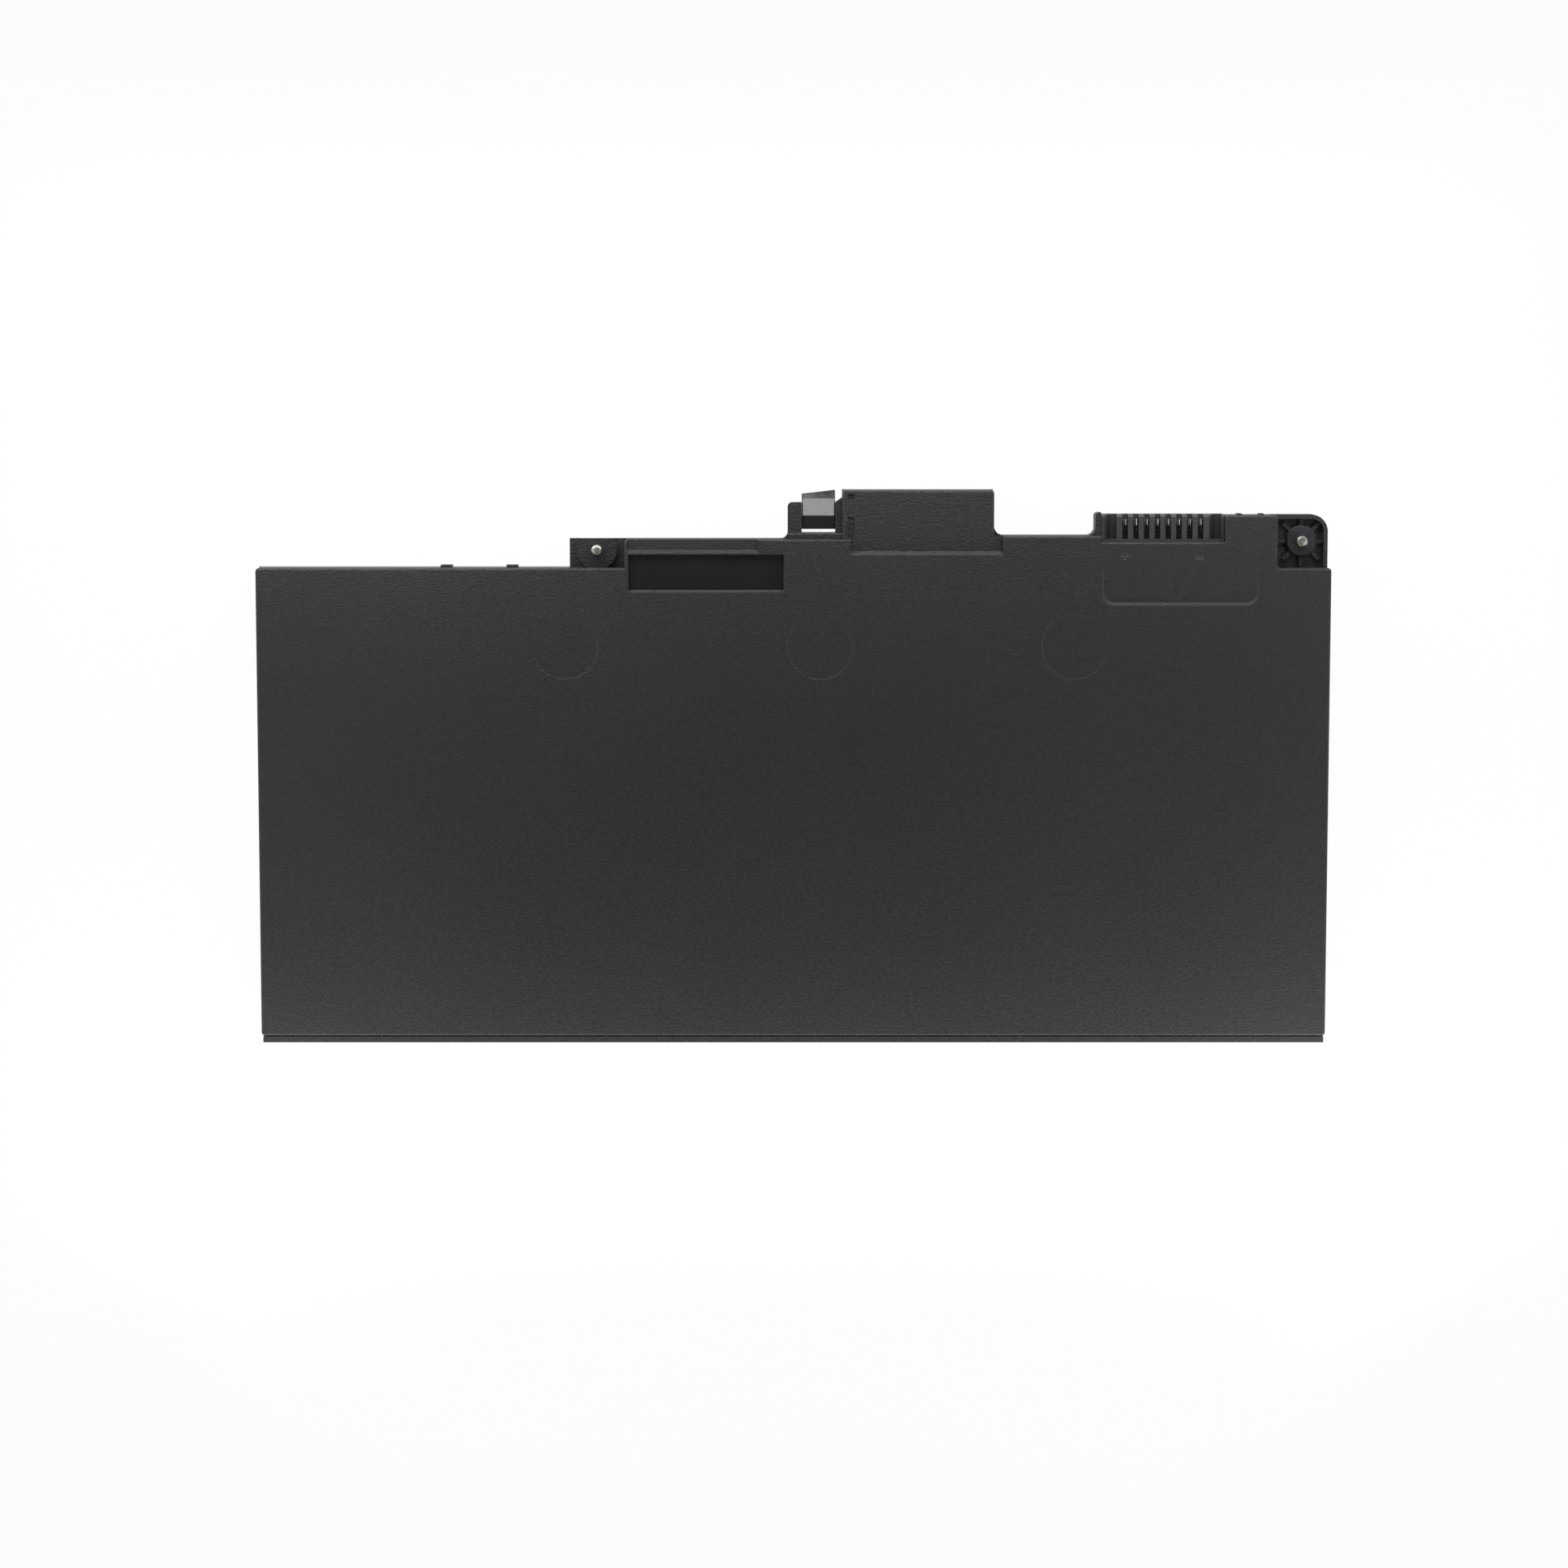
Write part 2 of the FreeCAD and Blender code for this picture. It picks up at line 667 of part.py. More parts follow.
def make_bracket():
    body = new_body("bracket")
    post_end = "(post_width - bracket_left)"
    bar_end = f"({post_end} + bar_length)"
    base = "(case_height + bracket_base)"
    peak = "(case_height + bracket_rise)"
    root = f"({block_top} - side_wall)"
    base_right = "(hump_left + side_wall / 2)"
    outline = [
        ("-bracket_left - 2 * bracket_fillet", root),
        (base_right, root),
        (base_right, f"{peak} + post_slant"),
        (bar_end, peak),
        (bar_end, base),
        (post_end, base),
        (post_end, peak),
        ("-bracket_left", peak),
        ("-bracket_left", block_top),
        ("-bracket_left - 2 * bracket_fillet", block_top),
    ]
    posts = pad_outline(body, "posts", outline, "bracket_foot", "bracket_level")
    height = ("bracket_foot", "bracket_level")
    outer = upright_edges(posts, [("-bracket_left", peak)], height)
    rounded = soften(body, "Fillet", posts, outer, "post_round")
    inner = upright_edges(rounded, [("-bracket_left", block_top)], height)
    soften(body, "Fillet", rounded, inner, "bracket_fillet")
    plate = pad_outline(body, "base", rectangle("-bracket_left", base_right, root, base), "bracket_level",
                        "base_level")
    rim = edges_within(plate, ("-bracket_left", base_right), (base, base), ("base_level", "base_level"))
    soften(body, "Fillet", plate, rim, "base_round")
    bar_foot = "(case_height + bar_rise)"
    bar = rectangle(f"{post_end} - side_wall / 2", f"{bar_end} + side_wall / 2", bar_foot,
                    f"{bar_foot} + bar_depth")
    bar_level = "(bracket_level - bar_drop)"
    pad_outline(body, "bar", bar, f"({bar_level} - bar_height)", bar_level)
    return body


def cut_cavities(body):
    low = "side_wall"
    wall = f"({right} - side_wall)"
    upper = f"({top} - side_wall)"
    block_wall = f"({window_right} + side_wall)"
    window_wall = f"({window_foot} - side_wall)"
    block_inner = f"({block_top} - side_wall)"
    step_wall = f"({hump_step} - side_wall)"
    cells = [
        (f"-{wall}", low),
        (wall, low),
        (wall, upper),
        (f"{tab_edge} - side_wall", upper),
        (f"{tab_edge} - side_wall", f"{shoulder_top} - side_wall"),
        (f"{bay_right} + side_wall", f"{shoulder_top} - side_wall"),
        (f"{bay_right} + side_wall", f"{bay_foot} - side_wall"),
        (f"{ear_left} - side_wall", f"{bay_foot} - side_wall"),
        (f"{ear_left} - side_wall", f"{strip_top} - side_wall"),
        (f"{hump_step_right} + side_wall", f"{strip_top} - side_wall"),
        (f"{hump_step_right} + side_wall", step_wall),
        ("hump_left - side_wall", step_wall),
        ("hump_left - side_wall", block_inner),
        (block_wall, block_inner),
        (block_wall, window_wall),
        ("-block_left", window_wall),
        ("-block_left", upper),
        (f"-{wall}", upper),
    ]
    cut_outline(body, "cell_room", cells, seam, f"{ceiling} - {seam}", along=True)
    under_window = [
        ("-block_left - side_wall", f"{window_wall} - side_wall"),
        (f"{block_wall} + side_wall", f"{window_wall} - side_wall"),
        (f"{block_wall} + side_wall", block_inner),
        ("side_wall - block_left", block_inner),
        ("side_wall - block_left", upper),
        ("-block_left - side_wall", upper),
    ]
    cut_outline(body, "window_room", under_window, seam, f"{window_floor} - face_wall - {seam}", along=True)
    under_hump = rectangle("hump_left + side_wall", f"{hump_right} - side_wall", f"{step_wall} - side_wall",
                           f"{hump_top} - side_wall")
    cut_outline(body, "hump_room", under_hump, seam, f"{hump_level} - face_wall - {seam}", along=True)
    doorway = rectangle(bay_left, bay_right, f"{bay_foot} - 2 * side_wall", f"{bay_foot} + side_wall")
    cut_outline(body, "bay_door", doorway, seam, f"housing_level + housing_clearance - {seam}", along=True)


def cut_face_forms(body):
    window = rectangle(window_left, window_right, window_foot, f"{window_foot} + window_height")
    cut_outline(body, "window", window, face, "window_depth")
    bevel_level = f"({face} - window_bevel)"
    bevel = new_sketch(body, "window_bevel", window_left, "YZ_Plane")
    add_outline(bevel, [
        (f"{window_foot} - window_bevel", face),
        (window_foot, bevel_level),
        (f"{window_foot} + window_bevel", bevel_level),
        (f"{window_foot} + window_bevel", face),
    ])
    pocket(body, bevel, "window_width", along=True)
    ledge_foot = f"({block_top} - ledge_breadth)"
    beyond = f"({block_top} + side_wall)"
    shelf = new_sketch(body, "ledge", "ledge_inset - block_left", "YZ_Plane")
    add_outline(shelf, [
        (f"{ledge_foot} - ledge_slope", face),
        (ledge_foot, f"{face} - ledge_depth"),
        (beyond, f"{face} - ledge_depth"),
        (beyond, face),
    ])
    pocket(body, shelf, "ledge_width", along=True)
    cut_panel(body)
    marks = new_sketch(body, "marks", face)
    for place in (-1, 0, 1):
        add_circle(marks, (f"mark_shift + {place} * mark_spacing", f"{top} - mark_drop"), "mark_radius")
    dish = pocket(body, marks, "mark_depth")
    dish.setExpression("TaperAngle", bound("-atan(mark_slope / mark_depth)"))


def cut_panel(body):
    # A shallow ramp: its floor leaves the face near the bay and falls to the foot.
    panel_right = f"({bay_left} + panel_width)"
    length = "(bay_rise + panel_drop - panel_slope - panel_setback)"
    ramp = new_sketch(body, "panel", face, shift=("0", f"{bay_foot} - panel_setback"))
    ramp.AttachmentOffset.Rotation = FreeCAD.Rotation(FreeCAD.Vector(1, 0, 0), 1)
    ramp.setExpression("AttachmentOffset.Rotation.Angle", bound(f"atan(panel_depth / {length})"))
    add_round_foot_outline(ramp, f"({bay_left} + panel_slope)", f"({panel_right} - panel_slope)",
                           f"(-{length})", "(panel_setback / 2)", "(panel_round - panel_slope)")
    sunk = pocket(body, ramp, "2 * panel_depth", along=True)
    sunk.setExpression("TaperAngle", bound("atan(panel_slope / panel_depth)"))


def add_wall_stops(body):
    sketch = new_sketch(body, "stops", "stop_foot")
    for place in (0, 1):
        start = f"(stop_inset + {place} * stop_spacing - {right})"
        add_outline(sketch, rectangle(start, f"{start} + stop_width", f"{top} - side_wall / 2",
                                      f"{top} + stop_proud"))
    for place in (-1, 1):
        start = f"(({bay_right} + {tab_edge} + {place} * crush_spacing - crush_width) / 2)"
        add_outline(sketch, rectangle(start, f"{start} + crush_width", f"{shoulder_top} - side_wall / 2",
                                      f"{shoulder_top} + crush_proud"))
    pad(body, sketch, "stop_level - stop_foot")


def make_rear_case():
    tabs = [make_left_tab(), make_right_tab(), make_bracket()]
    body = new_piece("rear_case")
    add_main_block(body)
    add_hump(body)
    add_ear(body)
    cut_cavities(body)
    cut_face_forms(body)
    add_wall_stops(body)
    union = body.newObject("PartDesign::Boolean", "rear_case_union")
    union.Type = "Fuse"
    union.setObjects(tabs)
    union.Refine = True
    body.Tip = union
    return body


def make_front_cover():
    body = new_piece("front_cover")
    lip_right = f"({right} - lip_inset)"
    outline = [
        (f"-{right}", "0"),
        (f"-{lip_right}", "0"),
        (f"-{lip_right}", f"-{lip_foot}"),
        (lip_right, f"-{lip_foot}"),
        (lip_right, "0"),
        (right, "0"),
        (right, top),
        (tab_edge, top),
        (tab_edge, shoulder_top),
        (bay_right, shoulder_top),
        (bay_right, housing_front),
        (ear_left, housing_front),
        (ear_left, strip_top),
        (hump_right, strip_top),
        (hump_right, hump_top),
        ("hump_left", hump_top),
        ("hump_left", block_top),
        ("-block_left", block_top),
        ("-block_left", top),
        (f"-{right}", top),
    ]
    plate = pad_outline(body, "plate", outline, "0", seam)
    under = edges_within(plate, (f"-{right}", right), (f"-{lip_foot}", hump_top), ("0", "0"))
    bevelled = soften(body, "Chamfer", plate, under, "cover_bevel")
    lip_top = f"({face} - lip_drop)"
    strip = rectangle(f"-{lip_right}", lip_right, f"-{lip_foot}", "-lip_gap")
    lip = pad_outline(body, "lip", strip, seam, lip_top)
    outer = edges_within(lip, (f"-{lip_right}", lip_right), (f"-{lip_foot}", f"-{lip_foot}"),
                         (lip_top, lip_top))
    soften(body, "Fillet", lip, outer, "lip_bevel")
    for name, start in (("front", f"({board_front} + stand_inset)"),
                        ("back", f"({board_back} - stand_inset - stand_width)")):
        stand = rectangle(board_left, board_right, start, f"{start} + stand_width")
        pad_outline(body, f"stand_{name}", stand, seam, board_foot)
    return body


def make_window_film():
    return make_block(
        "window_film",
        f"({window_left} + film_clearance)", f"({window_right} - film_clearance)",
        f"({window_foot} + film_clearance)", f"({window_foot} + window_height - film_clearance)",
        window_floor, f"({window_floor} + film_sheet)")


def make_connector_housing():
    body = new_piece("connector_housing")
    left_end = f"({bay_left} + housing_clearance)"
    right_end = f"({bay_right} - housing_clearance)"
    tail = f"({bay_foot} - housing_tail)"
    pad_outline(body, "block", rectangle(left_end, right_end, tail, housing_front), board_top,
                "housing_level")
    skirt_back = f"({tongue_end} + housing_clearance)"
    skirt = pad_outline(body, "skirt", rectangle(left_end, right_end, skirt_back, housing_front),
                        f"({seam} + skirt_gap)", "housing_level")
    crown = edges_within(skirt, (left_end, right_end), (housing_front, housing_front),
                         ("housing_level", "housing_level"))
    soften(body, "Chamfer", skirt, crown, "comb_bevel")
    slot_foot = "(case_height + slot_rise)"
    beyond = f"({housing_front} + side_wall)"
    guide_level = "(housing_level - guide_depth)"
    guides = [
        ("left", f"({bay_left} + housing_clearance + guide_land)", f"({bay_middle} - comb_width / 2)"),
        ("right", f"({bay_middle} + comb_width / 2)", f"({bay_right} - housing_clearance - guide_land)"),
    ]
    for name, shallow, deep in guides:
        sketch = new_sketch(body, f"guide_{name}", f"-{beyond}", "XZ_Plane")
        add_outline(sketch, [
            (shallow, "housing_level"),
            (deep, "housing_level"),
            (deep, guide_level),
            (f"{deep} - guide_floor", guide_level),
        ])
        pocket(body, sketch, f"{beyond} - {slot_foot}", along=True)
    first = f"({bay_middle} - (slot_count - 1) * slot_pitch / 2)"
    slot_sketch = new_sketch(body, "slot", "housing_level")
    add_outline(slot_sketch, rectangle(f"{first} - slot_width / 2", f"{first} + slot_width / 2", slot_foot,
                                       beyond))
    slot = pocket(body, slot_sketch, "slot_depth")
    repeat_along_x(body, slot_sketch, slot, "(slot_count - 1) * slot_pitch", "slot_count")
    return body


def make_connector_contacts():
    body = new_piece("connector_contacts")
    body.AllowCompound = True
    foot = "(housing_level - slot_depth)"
    tip = "(housing_level - contact_drop)"
    first = f"({bay_middle} - (slot_count - 1) * slot_pitch / 2)"
    outer = "(slot_width / 2 - contact_clearance)"
    inner = f"({outer} - contact_sheet)"
    front = f"({housing_front} - contact_setback)"
    sketch = new_sketch(body, "fork", f"-{front}", "XZ_Plane")
    add_outline(sketch, [
        (f"{first} - {outer}", foot),
        (f"{first} + {outer}", foot),
        (f"{first} + {outer}", tip),
        (f"{first} + {inner}", tip),
        (f"{first} + {inner}", f"{foot} + contact_sheet"),
        (f"{first} - {inner}", f"{foot} + contact_sheet"),
        (f"{first} - {inner}", tip),
        (f"{first} - {outer}", tip),
    ])
    fork = pad(body, sketch, "contact_length")
    repeat_along_x(body, sketch, fork, "(slot_count - 1) * slot_pitch", "slot_count")
    return body


def make_captive_screw(label, centre):
    body = new_piece(label)
    head_top = "(head_stand + head_height)"
    thread_top = f"({boss_level} + thread_length)"
    head = pad_circle(body, "head", centre, "head_radius", "head_stand", head_top)
    x, y = centre
    x_range = (f"{x} - head_radius", f"{x} + head_radius")
    y_range = (f"{y} - head_radius", f"{y} + head_radius")
    under = edges_within(head, x_range, y_range, ("head_stand", "head_stand"))
    soften(body, "Chamfer", head, under, "thread_bevel")
    pad_circle(body, "neck", centre, "neck_radius", head_top, boss_level)
    thread = pad_circle(body, "thread", centre, "thread_radius", boss_level, thread_top)
    tip = edges_within(thread, x_range, y_range, (thread_top, thread_top))
    soften(body, "Chamfer", thread, tip, "thread_bevel")
    return body


def make_pull_tab():
    # A strip looped round the bar: two leaves that meet past the bar and hang down as one tail.
    body = new_piece("pull_tab")
    post_end = "(post_width - bracket_left)"
    bar_back = "(case_height + bar_rise - pull_clearance)"
    bar_front = "(case_height + bar_rise + bar_depth + pull_clearance)"
    bar_level = "(bracket_level - bar_drop + pull_clearance)"
    bar_foot = "(bracket_level - bar_drop - bar_height - pull_clearance)"
    join_y = f"({bar_front} + pull_join)"
    join_z = f"(({bar_level} + {bar_foot}) / 2)"
    end_y = f"({join_y} + pull_tail)"
    sketch = new_sketch(body, "loop", f"({post_end} + pull_side)", "YZ_Plane")
    add_outline(sketch, [
        (f"{bar_back} - pull_film", f"{bar_foot} - pull_film"),
        (bar_front, f"{bar_foot} - pull_film"),
        (join_y, f"{join_z} - pull_film"),
        (end_y, "pull_end_level"),
        (end_y, "pull_end_level + 2 * pull_film"),
        (f"{join_y} + pull_film", f"{join_z} + pull_film"),
        (f"{bar_front} + pull_film", f"{bar_level} + pull_film"),
        (f"{bar_back} - pull_film", f"{bar_level} + pull_film"),
    ])
    add_outline(sketch, [
        (bar_back, bar_foot),
        (bar_front, bar_foot),
        (join_y, join_z),
        (bar_front, bar_level),
        (bar_back, bar_level),
    ])
    loop = pad(body, sketch, "bar_length - 2 * pull_side")
    outer = f"({bar_back} - pull_film)"
    folds = []
    for level in (f"({bar_foot} - pull_film)", f"({bar_level} + pull_film)"):
        folds += edges_within(loop, (f"-{right}", right), (outer, outer), (level, level))
    soften(body, "Fillet", loop, folds, "pull_bend")
    return body


def make_cell(label, place):
    body = new_piece(label)
    centre = f"({place} * {cell_pitch})"
    half = f"({cell_width} / 2)"
    low = f"({centre} - {half})"
    high = f"({centre} + {half})"
    pouch = pad_outline(body, "pouch", rectangle(low, high, cell_start, cell_end), cell_foot, cell_top)
    corners = [(low, cell_start), (high, cell_start), (low, cell_end), (high, cell_end)]
    soften(body, "Fillet", pouch, upright_edges(pouch, corners, (cell_foot, cell_top)), "cell_round")
    seal = rectangle(f"{low} + terrace_inset", f"{high} - terrace_inset",
                     f"{cell_end} - terrace_length", terrace_end)
    pad_outline(body, "terrace", seal, f"({board_top} - terrace_seal)",
                f"({board_top} + tab_strip + terrace_seal)")
    return body


def make_cell_tape(label, place):
    centre = f"({place} * {cell_pitch})"
    reach = f"({cell_width} / 2 - tape_inset)"
    return make_block(label, f"({centre} - {reach})", f"({centre} + {reach})", f"({cell_start} + tape_inset)",
                      f"({cell_end} - tape_inset)", seam, cell_foot)


def make_cell_tab(label, place, side, length):
    centre = f"({place} * {cell_pitch} + {side} * tab_spacing / 2)"
    return make_block(label, f"({centre} - tab_width / 2)", f"({centre} + tab_width / 2)", terrace_end,
                      f"({terrace_end} + {length})", board_top, f"({board_top} + tab_strip)")


def make_bus_strip(label, x_low, x_high, row):
    start = f"({terrace_end} + bus_inset + {row} * bus_pitch)"
    foot = f"({board_top} + tab_strip)"
    return make_block(label, x_low, x_high, start, f"({start} + bus_width)", foot, f"({foot} + bus_sheet)")


def make_bus_strips():
    reach = "(tab_spacing / 2 + tab_width / 2)"
    strips = []
    for name, place in (("left", "-1"), ("right", "1")):
        start = f"(({place} - 1) / 2 * {cell_pitch} + tab_spacing / 2 - tab_width / 2)"
        end = f"(({place} + 1) / 2 * {cell_pitch} - tab_spacing / 2 + tab_width / 2)"
        strips.append(make_bus_strip(f"series_strip_{name}", start, end, "0"))
    strips.append(make_bus_strip("pack_positive_strip", f"(-{cell_pitch} - {reach})",
                                 f"({board_left} + bus_landing)", "1"))
    last = f"({cell_pitch} + {reach})"
    strips.append(make_bus_strip("pack_negative_strip", f"({last} - negative_bus)", last, "0"))
    return strips


def make_protection_board():
    body = new_piece("protection_board")
    hump_low = "(hump_left + side_wall + board_clearance)"
    hump_high = f"({hump_right} - side_wall - board_clearance)"
    hump_end = f"({hump_top} - side_wall - board_clearance)"
    bay_low = f"({bay_left} + board_clearance)"
    bay_high = f"({bay_right} - board_clearance)"
    outline = [
        (board_left, board_front),
        (board_right, board_front),
        (board_right, board_back),
        (bay_high, board_back),
        (bay_high, tongue_end),
        (bay_low, tongue_end),
        (bay_low, board_back),
        (hump_high, board_back),
        (hump_high, hump_end),
        (hump_low, hump_end),
        (hump_low, board_back),
        (board_left, board_back),
    ]
    pad_outline(body, "sheet", outline, board_foot, board_top)
    return body


def make_board_parts():
    upper = f"({board_back} + upper_row)"
    lower = f"({board_back} + lower_row)"
    left_spot = "(hump_left + transistor_inset)"
    right_spot = f"({hump_right} - gauge_inset)"
    return [
        make_chip("charge_transistor", left_spot, upper, "transistor_side", "transistor_side",
                  "transistor_height"),
        make_chip("discharge_transistor", f"({left_spot} + transistor_pitch)", upper, "transistor_side",
                  "transistor_side", "transistor_height"),
        make_chip("gauge_chip", right_spot, upper, "gauge_side", "gauge_side", "gauge_height"),
        make_chip("chemical_fuse", left_spot, lower, "fuse_length", "fuse_width", "fuse_height"),
        make_chip("shunt_resistor", right_spot, lower, "shunt_length", "shunt_width", "shunt_height"),
        make_chip("thermistor", "thermistor_offset", f"({board_back} - small_row - thermistor_width)",
                  "thermistor_length", "thermistor_width", "thermistor_height"),
        make_filter_capacitors(),
    ]


def make_filter_capacitors():
    body = new_piece("filter_capacitors")
    body.AllowCompound = True
    start = f"({hump_step_right} + capacitor_inset)"
    back = f"({board_back} - small_row)"
    sketch = new_sketch(body, "capacitor", board_top)
    add_outline(sketch, rectangle(start, f"{start} + capacitor_length", f"{back} - capacitor_width", back))
    block = pad(body, sketch, "capacitor_height")
    repeat_along_x(body, sketch, block, "(capacitor_count - 1) * capacitor_pitch", "capacitor_count")
    return body


def make_cells():
    pieces = []
    for name, place in (("left", "-1"), ("middle", "0"), ("right", "1")):
        pieces.append(make_cell(f"cell_{name}", place))
        pieces.append(make_cell_tape(f"cell_tape_{name}", place))
        pieces.append(make_cell_tab(f"cell_{name}_positive_tab", place, "-1", "tab_long"))
        pieces.append(make_cell_tab(f"cell_{name}_negative_tab", place, "1", "tab_short"))
    return pieces


pieces = [
    make_rear_case(),
    make_front_cover(),
    make_window_film(),
    make_connector_housing(),
    make_connector_contacts(),
    make_captive_screw("captive_screw_left", left_screw),
    make_captive_screw("captive_screw_right", right_screw),
    make_pull_tab(),
    make_protection_board(),
]
pieces += make_cells()
pieces += make_bus_strips()
pieces += make_board_parts()
doc.recompute()

for item in doc.Objects:
    if "Invalid" in item.State or "Error" in item.State:
        raise RuntimeError(f"{item.Name} did not build: {item.State}")
for piece in pieces:
    if piece.Shape.isNull() or not piece.Shape.isValid():
        raise RuntimeError(f"{piece.Label} has no valid shape")

os.makedirs("parts", exist_ok=True)
for piece in pieces:
    piece.Shape.exportStep(f"parts/{piece.Label}.step")
    print(f"{piece.Label}: {len(piece.Shape.Solids)} solids, {piece.Shape.Volume:.1f} mm3")
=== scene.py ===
import bpy
import bmesh
import json
import math
import numpy as np
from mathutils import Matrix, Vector


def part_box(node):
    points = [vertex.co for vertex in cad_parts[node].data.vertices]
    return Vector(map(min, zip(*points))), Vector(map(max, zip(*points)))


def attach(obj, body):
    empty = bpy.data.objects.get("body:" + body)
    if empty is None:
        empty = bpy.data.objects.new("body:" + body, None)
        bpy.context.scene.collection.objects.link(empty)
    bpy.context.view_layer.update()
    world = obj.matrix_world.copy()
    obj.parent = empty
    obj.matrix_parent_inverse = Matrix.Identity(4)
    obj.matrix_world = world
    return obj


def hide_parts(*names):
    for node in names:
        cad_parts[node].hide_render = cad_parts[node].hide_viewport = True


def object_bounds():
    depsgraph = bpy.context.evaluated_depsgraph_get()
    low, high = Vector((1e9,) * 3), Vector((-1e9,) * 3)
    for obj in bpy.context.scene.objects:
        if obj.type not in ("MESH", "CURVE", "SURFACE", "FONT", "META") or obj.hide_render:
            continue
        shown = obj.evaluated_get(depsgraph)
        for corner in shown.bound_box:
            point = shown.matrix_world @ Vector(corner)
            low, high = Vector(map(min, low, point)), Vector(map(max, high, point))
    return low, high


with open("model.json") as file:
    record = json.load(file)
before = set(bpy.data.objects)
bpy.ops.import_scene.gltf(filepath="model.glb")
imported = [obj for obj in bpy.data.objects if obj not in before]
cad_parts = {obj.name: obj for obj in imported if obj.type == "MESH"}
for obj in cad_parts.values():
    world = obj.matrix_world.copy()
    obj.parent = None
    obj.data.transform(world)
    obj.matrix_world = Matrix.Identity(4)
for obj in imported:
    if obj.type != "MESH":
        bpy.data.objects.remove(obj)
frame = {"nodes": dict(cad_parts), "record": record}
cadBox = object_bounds()
nodes = frame["nodes"]
mm = 0.001
print("frame loaded:", len(nodes), "nodes")


# grids and meshes

weldDistance = 0.0005  # in millimetres


# A grid of points becomes quads: each joins two neighbouring rows and two neighbouring columns. Where the
# columns wrap, the last one is a neighbour of the first.
def gridFaces(rows, columns, wraps):
    row = np.arange(rows - 1)[:, None] * columns
    nextRow = row + columns
    column = np.arange(columns if wraps else columns - 1)[None, :]
    nextColumn = (column + 1) % columns
    corners = (row + column, nextRow + column, nextRow + nextColumn, row + nextColumn)
    return np.stack(corners, axis=-1).reshape(-1, 4)


# One mesh from several grids, each with a flag that says whether its columns wrap.
def meshPiece(name, grids, material, creaseAngle):
    points = []
    faces = []
    count = 0
    for grid, wraps in grids:
        rows, columns = grid.shape[:2]
        points.append(grid.reshape(-1, 3))
        faces.append(gridFaces(rows, columns, wraps) + count)
        count += rows * columns
    mesh = bpy.data.meshes.new(name)
    mesh.from_pydata(np.concatenate(points) * mm, [], np.concatenate(faces).tolist())
    welded = bmesh.new()
    welded.from_mesh(mesh)
    bmesh.ops.remove_doubles(welded, verts=welded.verts, dist=weldDistance * mm)  # closes seams and poles
    bmesh.ops.recalc_face_normals(welded, faces=welded.faces)
    welded.to_mesh(mesh)
    welded.free()
    mesh.polygons.foreach_set("use_smooth", np.ones(len(mesh.polygons), bool))
    mesh.set_sharp_from_angle(angle=math.radians(creaseAngle))
    piece = bpy.data.objects.new(name, mesh)
    bpy.context.scene.collection.objects.link(piece)
    mesh.materials.append(material)
    return piece


# Each corner gets a point before and one behind it, and corner cutting then rounds only that short stretch:
# each pass puts two points on every run, at a quarter and three quarters of it.
def roundedPath(points, ease, passes):
    path = np.array(points, float)
    run = np.diff(path, axis=0)
    way = run / np.linalg.norm(run, axis=1)[:, None]
    corners = path[1:-1]
    inner = np.stack((corners - ease * way[:-1], corners, corners + ease * way[1:]), axis=1).reshape(-1, 2)
    path = np.concatenate((path[:1], inner, path[-1:]))
    for _ in range(passes):
        near = 0.75 * path[:-1] + 0.25 * path[1:]
        far = 0.25 * path[:-1] + 0.75 * path[1:]
        inner = np.stack((near, far), axis=1).reshape(-1, 2)
        path = np.concatenate((path[:1], inner, path[-1:]))
    return path


# Nought up to low and one from high on, level at both ends: three t squared less two t cubed between them.
def smoothStep(x, low, high):
    t = np.clip((x - low) / (high - low), 0, 1)
    return t * t * (3 - 2 * t)


# node helpers

noiseDetail = 3.0
noiseSpan = (0.3, 0.7)  # where nearly all of a noise field lies


def addNode(tree, kind, links=None, values=None, **settings):
    node = tree.nodes.new(kind)
    for key, setting in settings.items():
        setattr(node, key, setting)
    for key, number in (values or {}).items():
        node.inputs[key].default_value = number
    for key, socket in (links or {}).items():
        tree.links.new(socket, node.inputs[key])
    return node


def newMaterial(name):
    material = bpy.data.materials.new(name)
    material.use_nodes = True
    tree = material.node_tree
    return material, tree, tree.nodes["Principled BSDF"]


def noiseField(tree, size, stretch=(1, 1, 1), roughness=0.5):
    place = addNode(tree, "ShaderNodeTexCoord").outputs["Object"]
    turned = addNode(tree, "ShaderNodeMapping", {"Vector": place}, {"Scale": stretch})
    scale = 1 / (size * mm)
    noise = addNode(tree, "ShaderNodeTexNoise", {"Vector": turned.outputs["Vector"]},
                    {"Scale": scale, "Detail": noiseDetail, "Roughness": roughness})
    return noise.outputs["Fac"]


def mapped(tree, field, low, high, span=noiseSpan):
    node = addNode(tree, "ShaderNodeMapRange", {"Value": field},
                   {"From Min": span[0], "From Max": span[1], "To Min": low, "To Max": high})
    return node.outputs["Result"]


def mixedColor(tree, field, colorA, colorB):
    ramp = addNode(tree, "ShaderNodeValToRGB", {"Fac": field})
    for element, position, color in zip(ramp.color_ramp.elements, noiseSpan, (colorA, colorB)):
        element.position = position
        element.color = (*color, 1)
    return ramp.outputs["Color"]


def bumpFrom(tree, height, depth, below=None):
    links = {"Height": height}
    if below is not None:
        links["Normal"] = below
    node = addNode(tree, "ShaderNodeBump", links, {"Strength": 1.0, "Distance": depth * mm})
    return node.outputs["Normal"]


# finishes

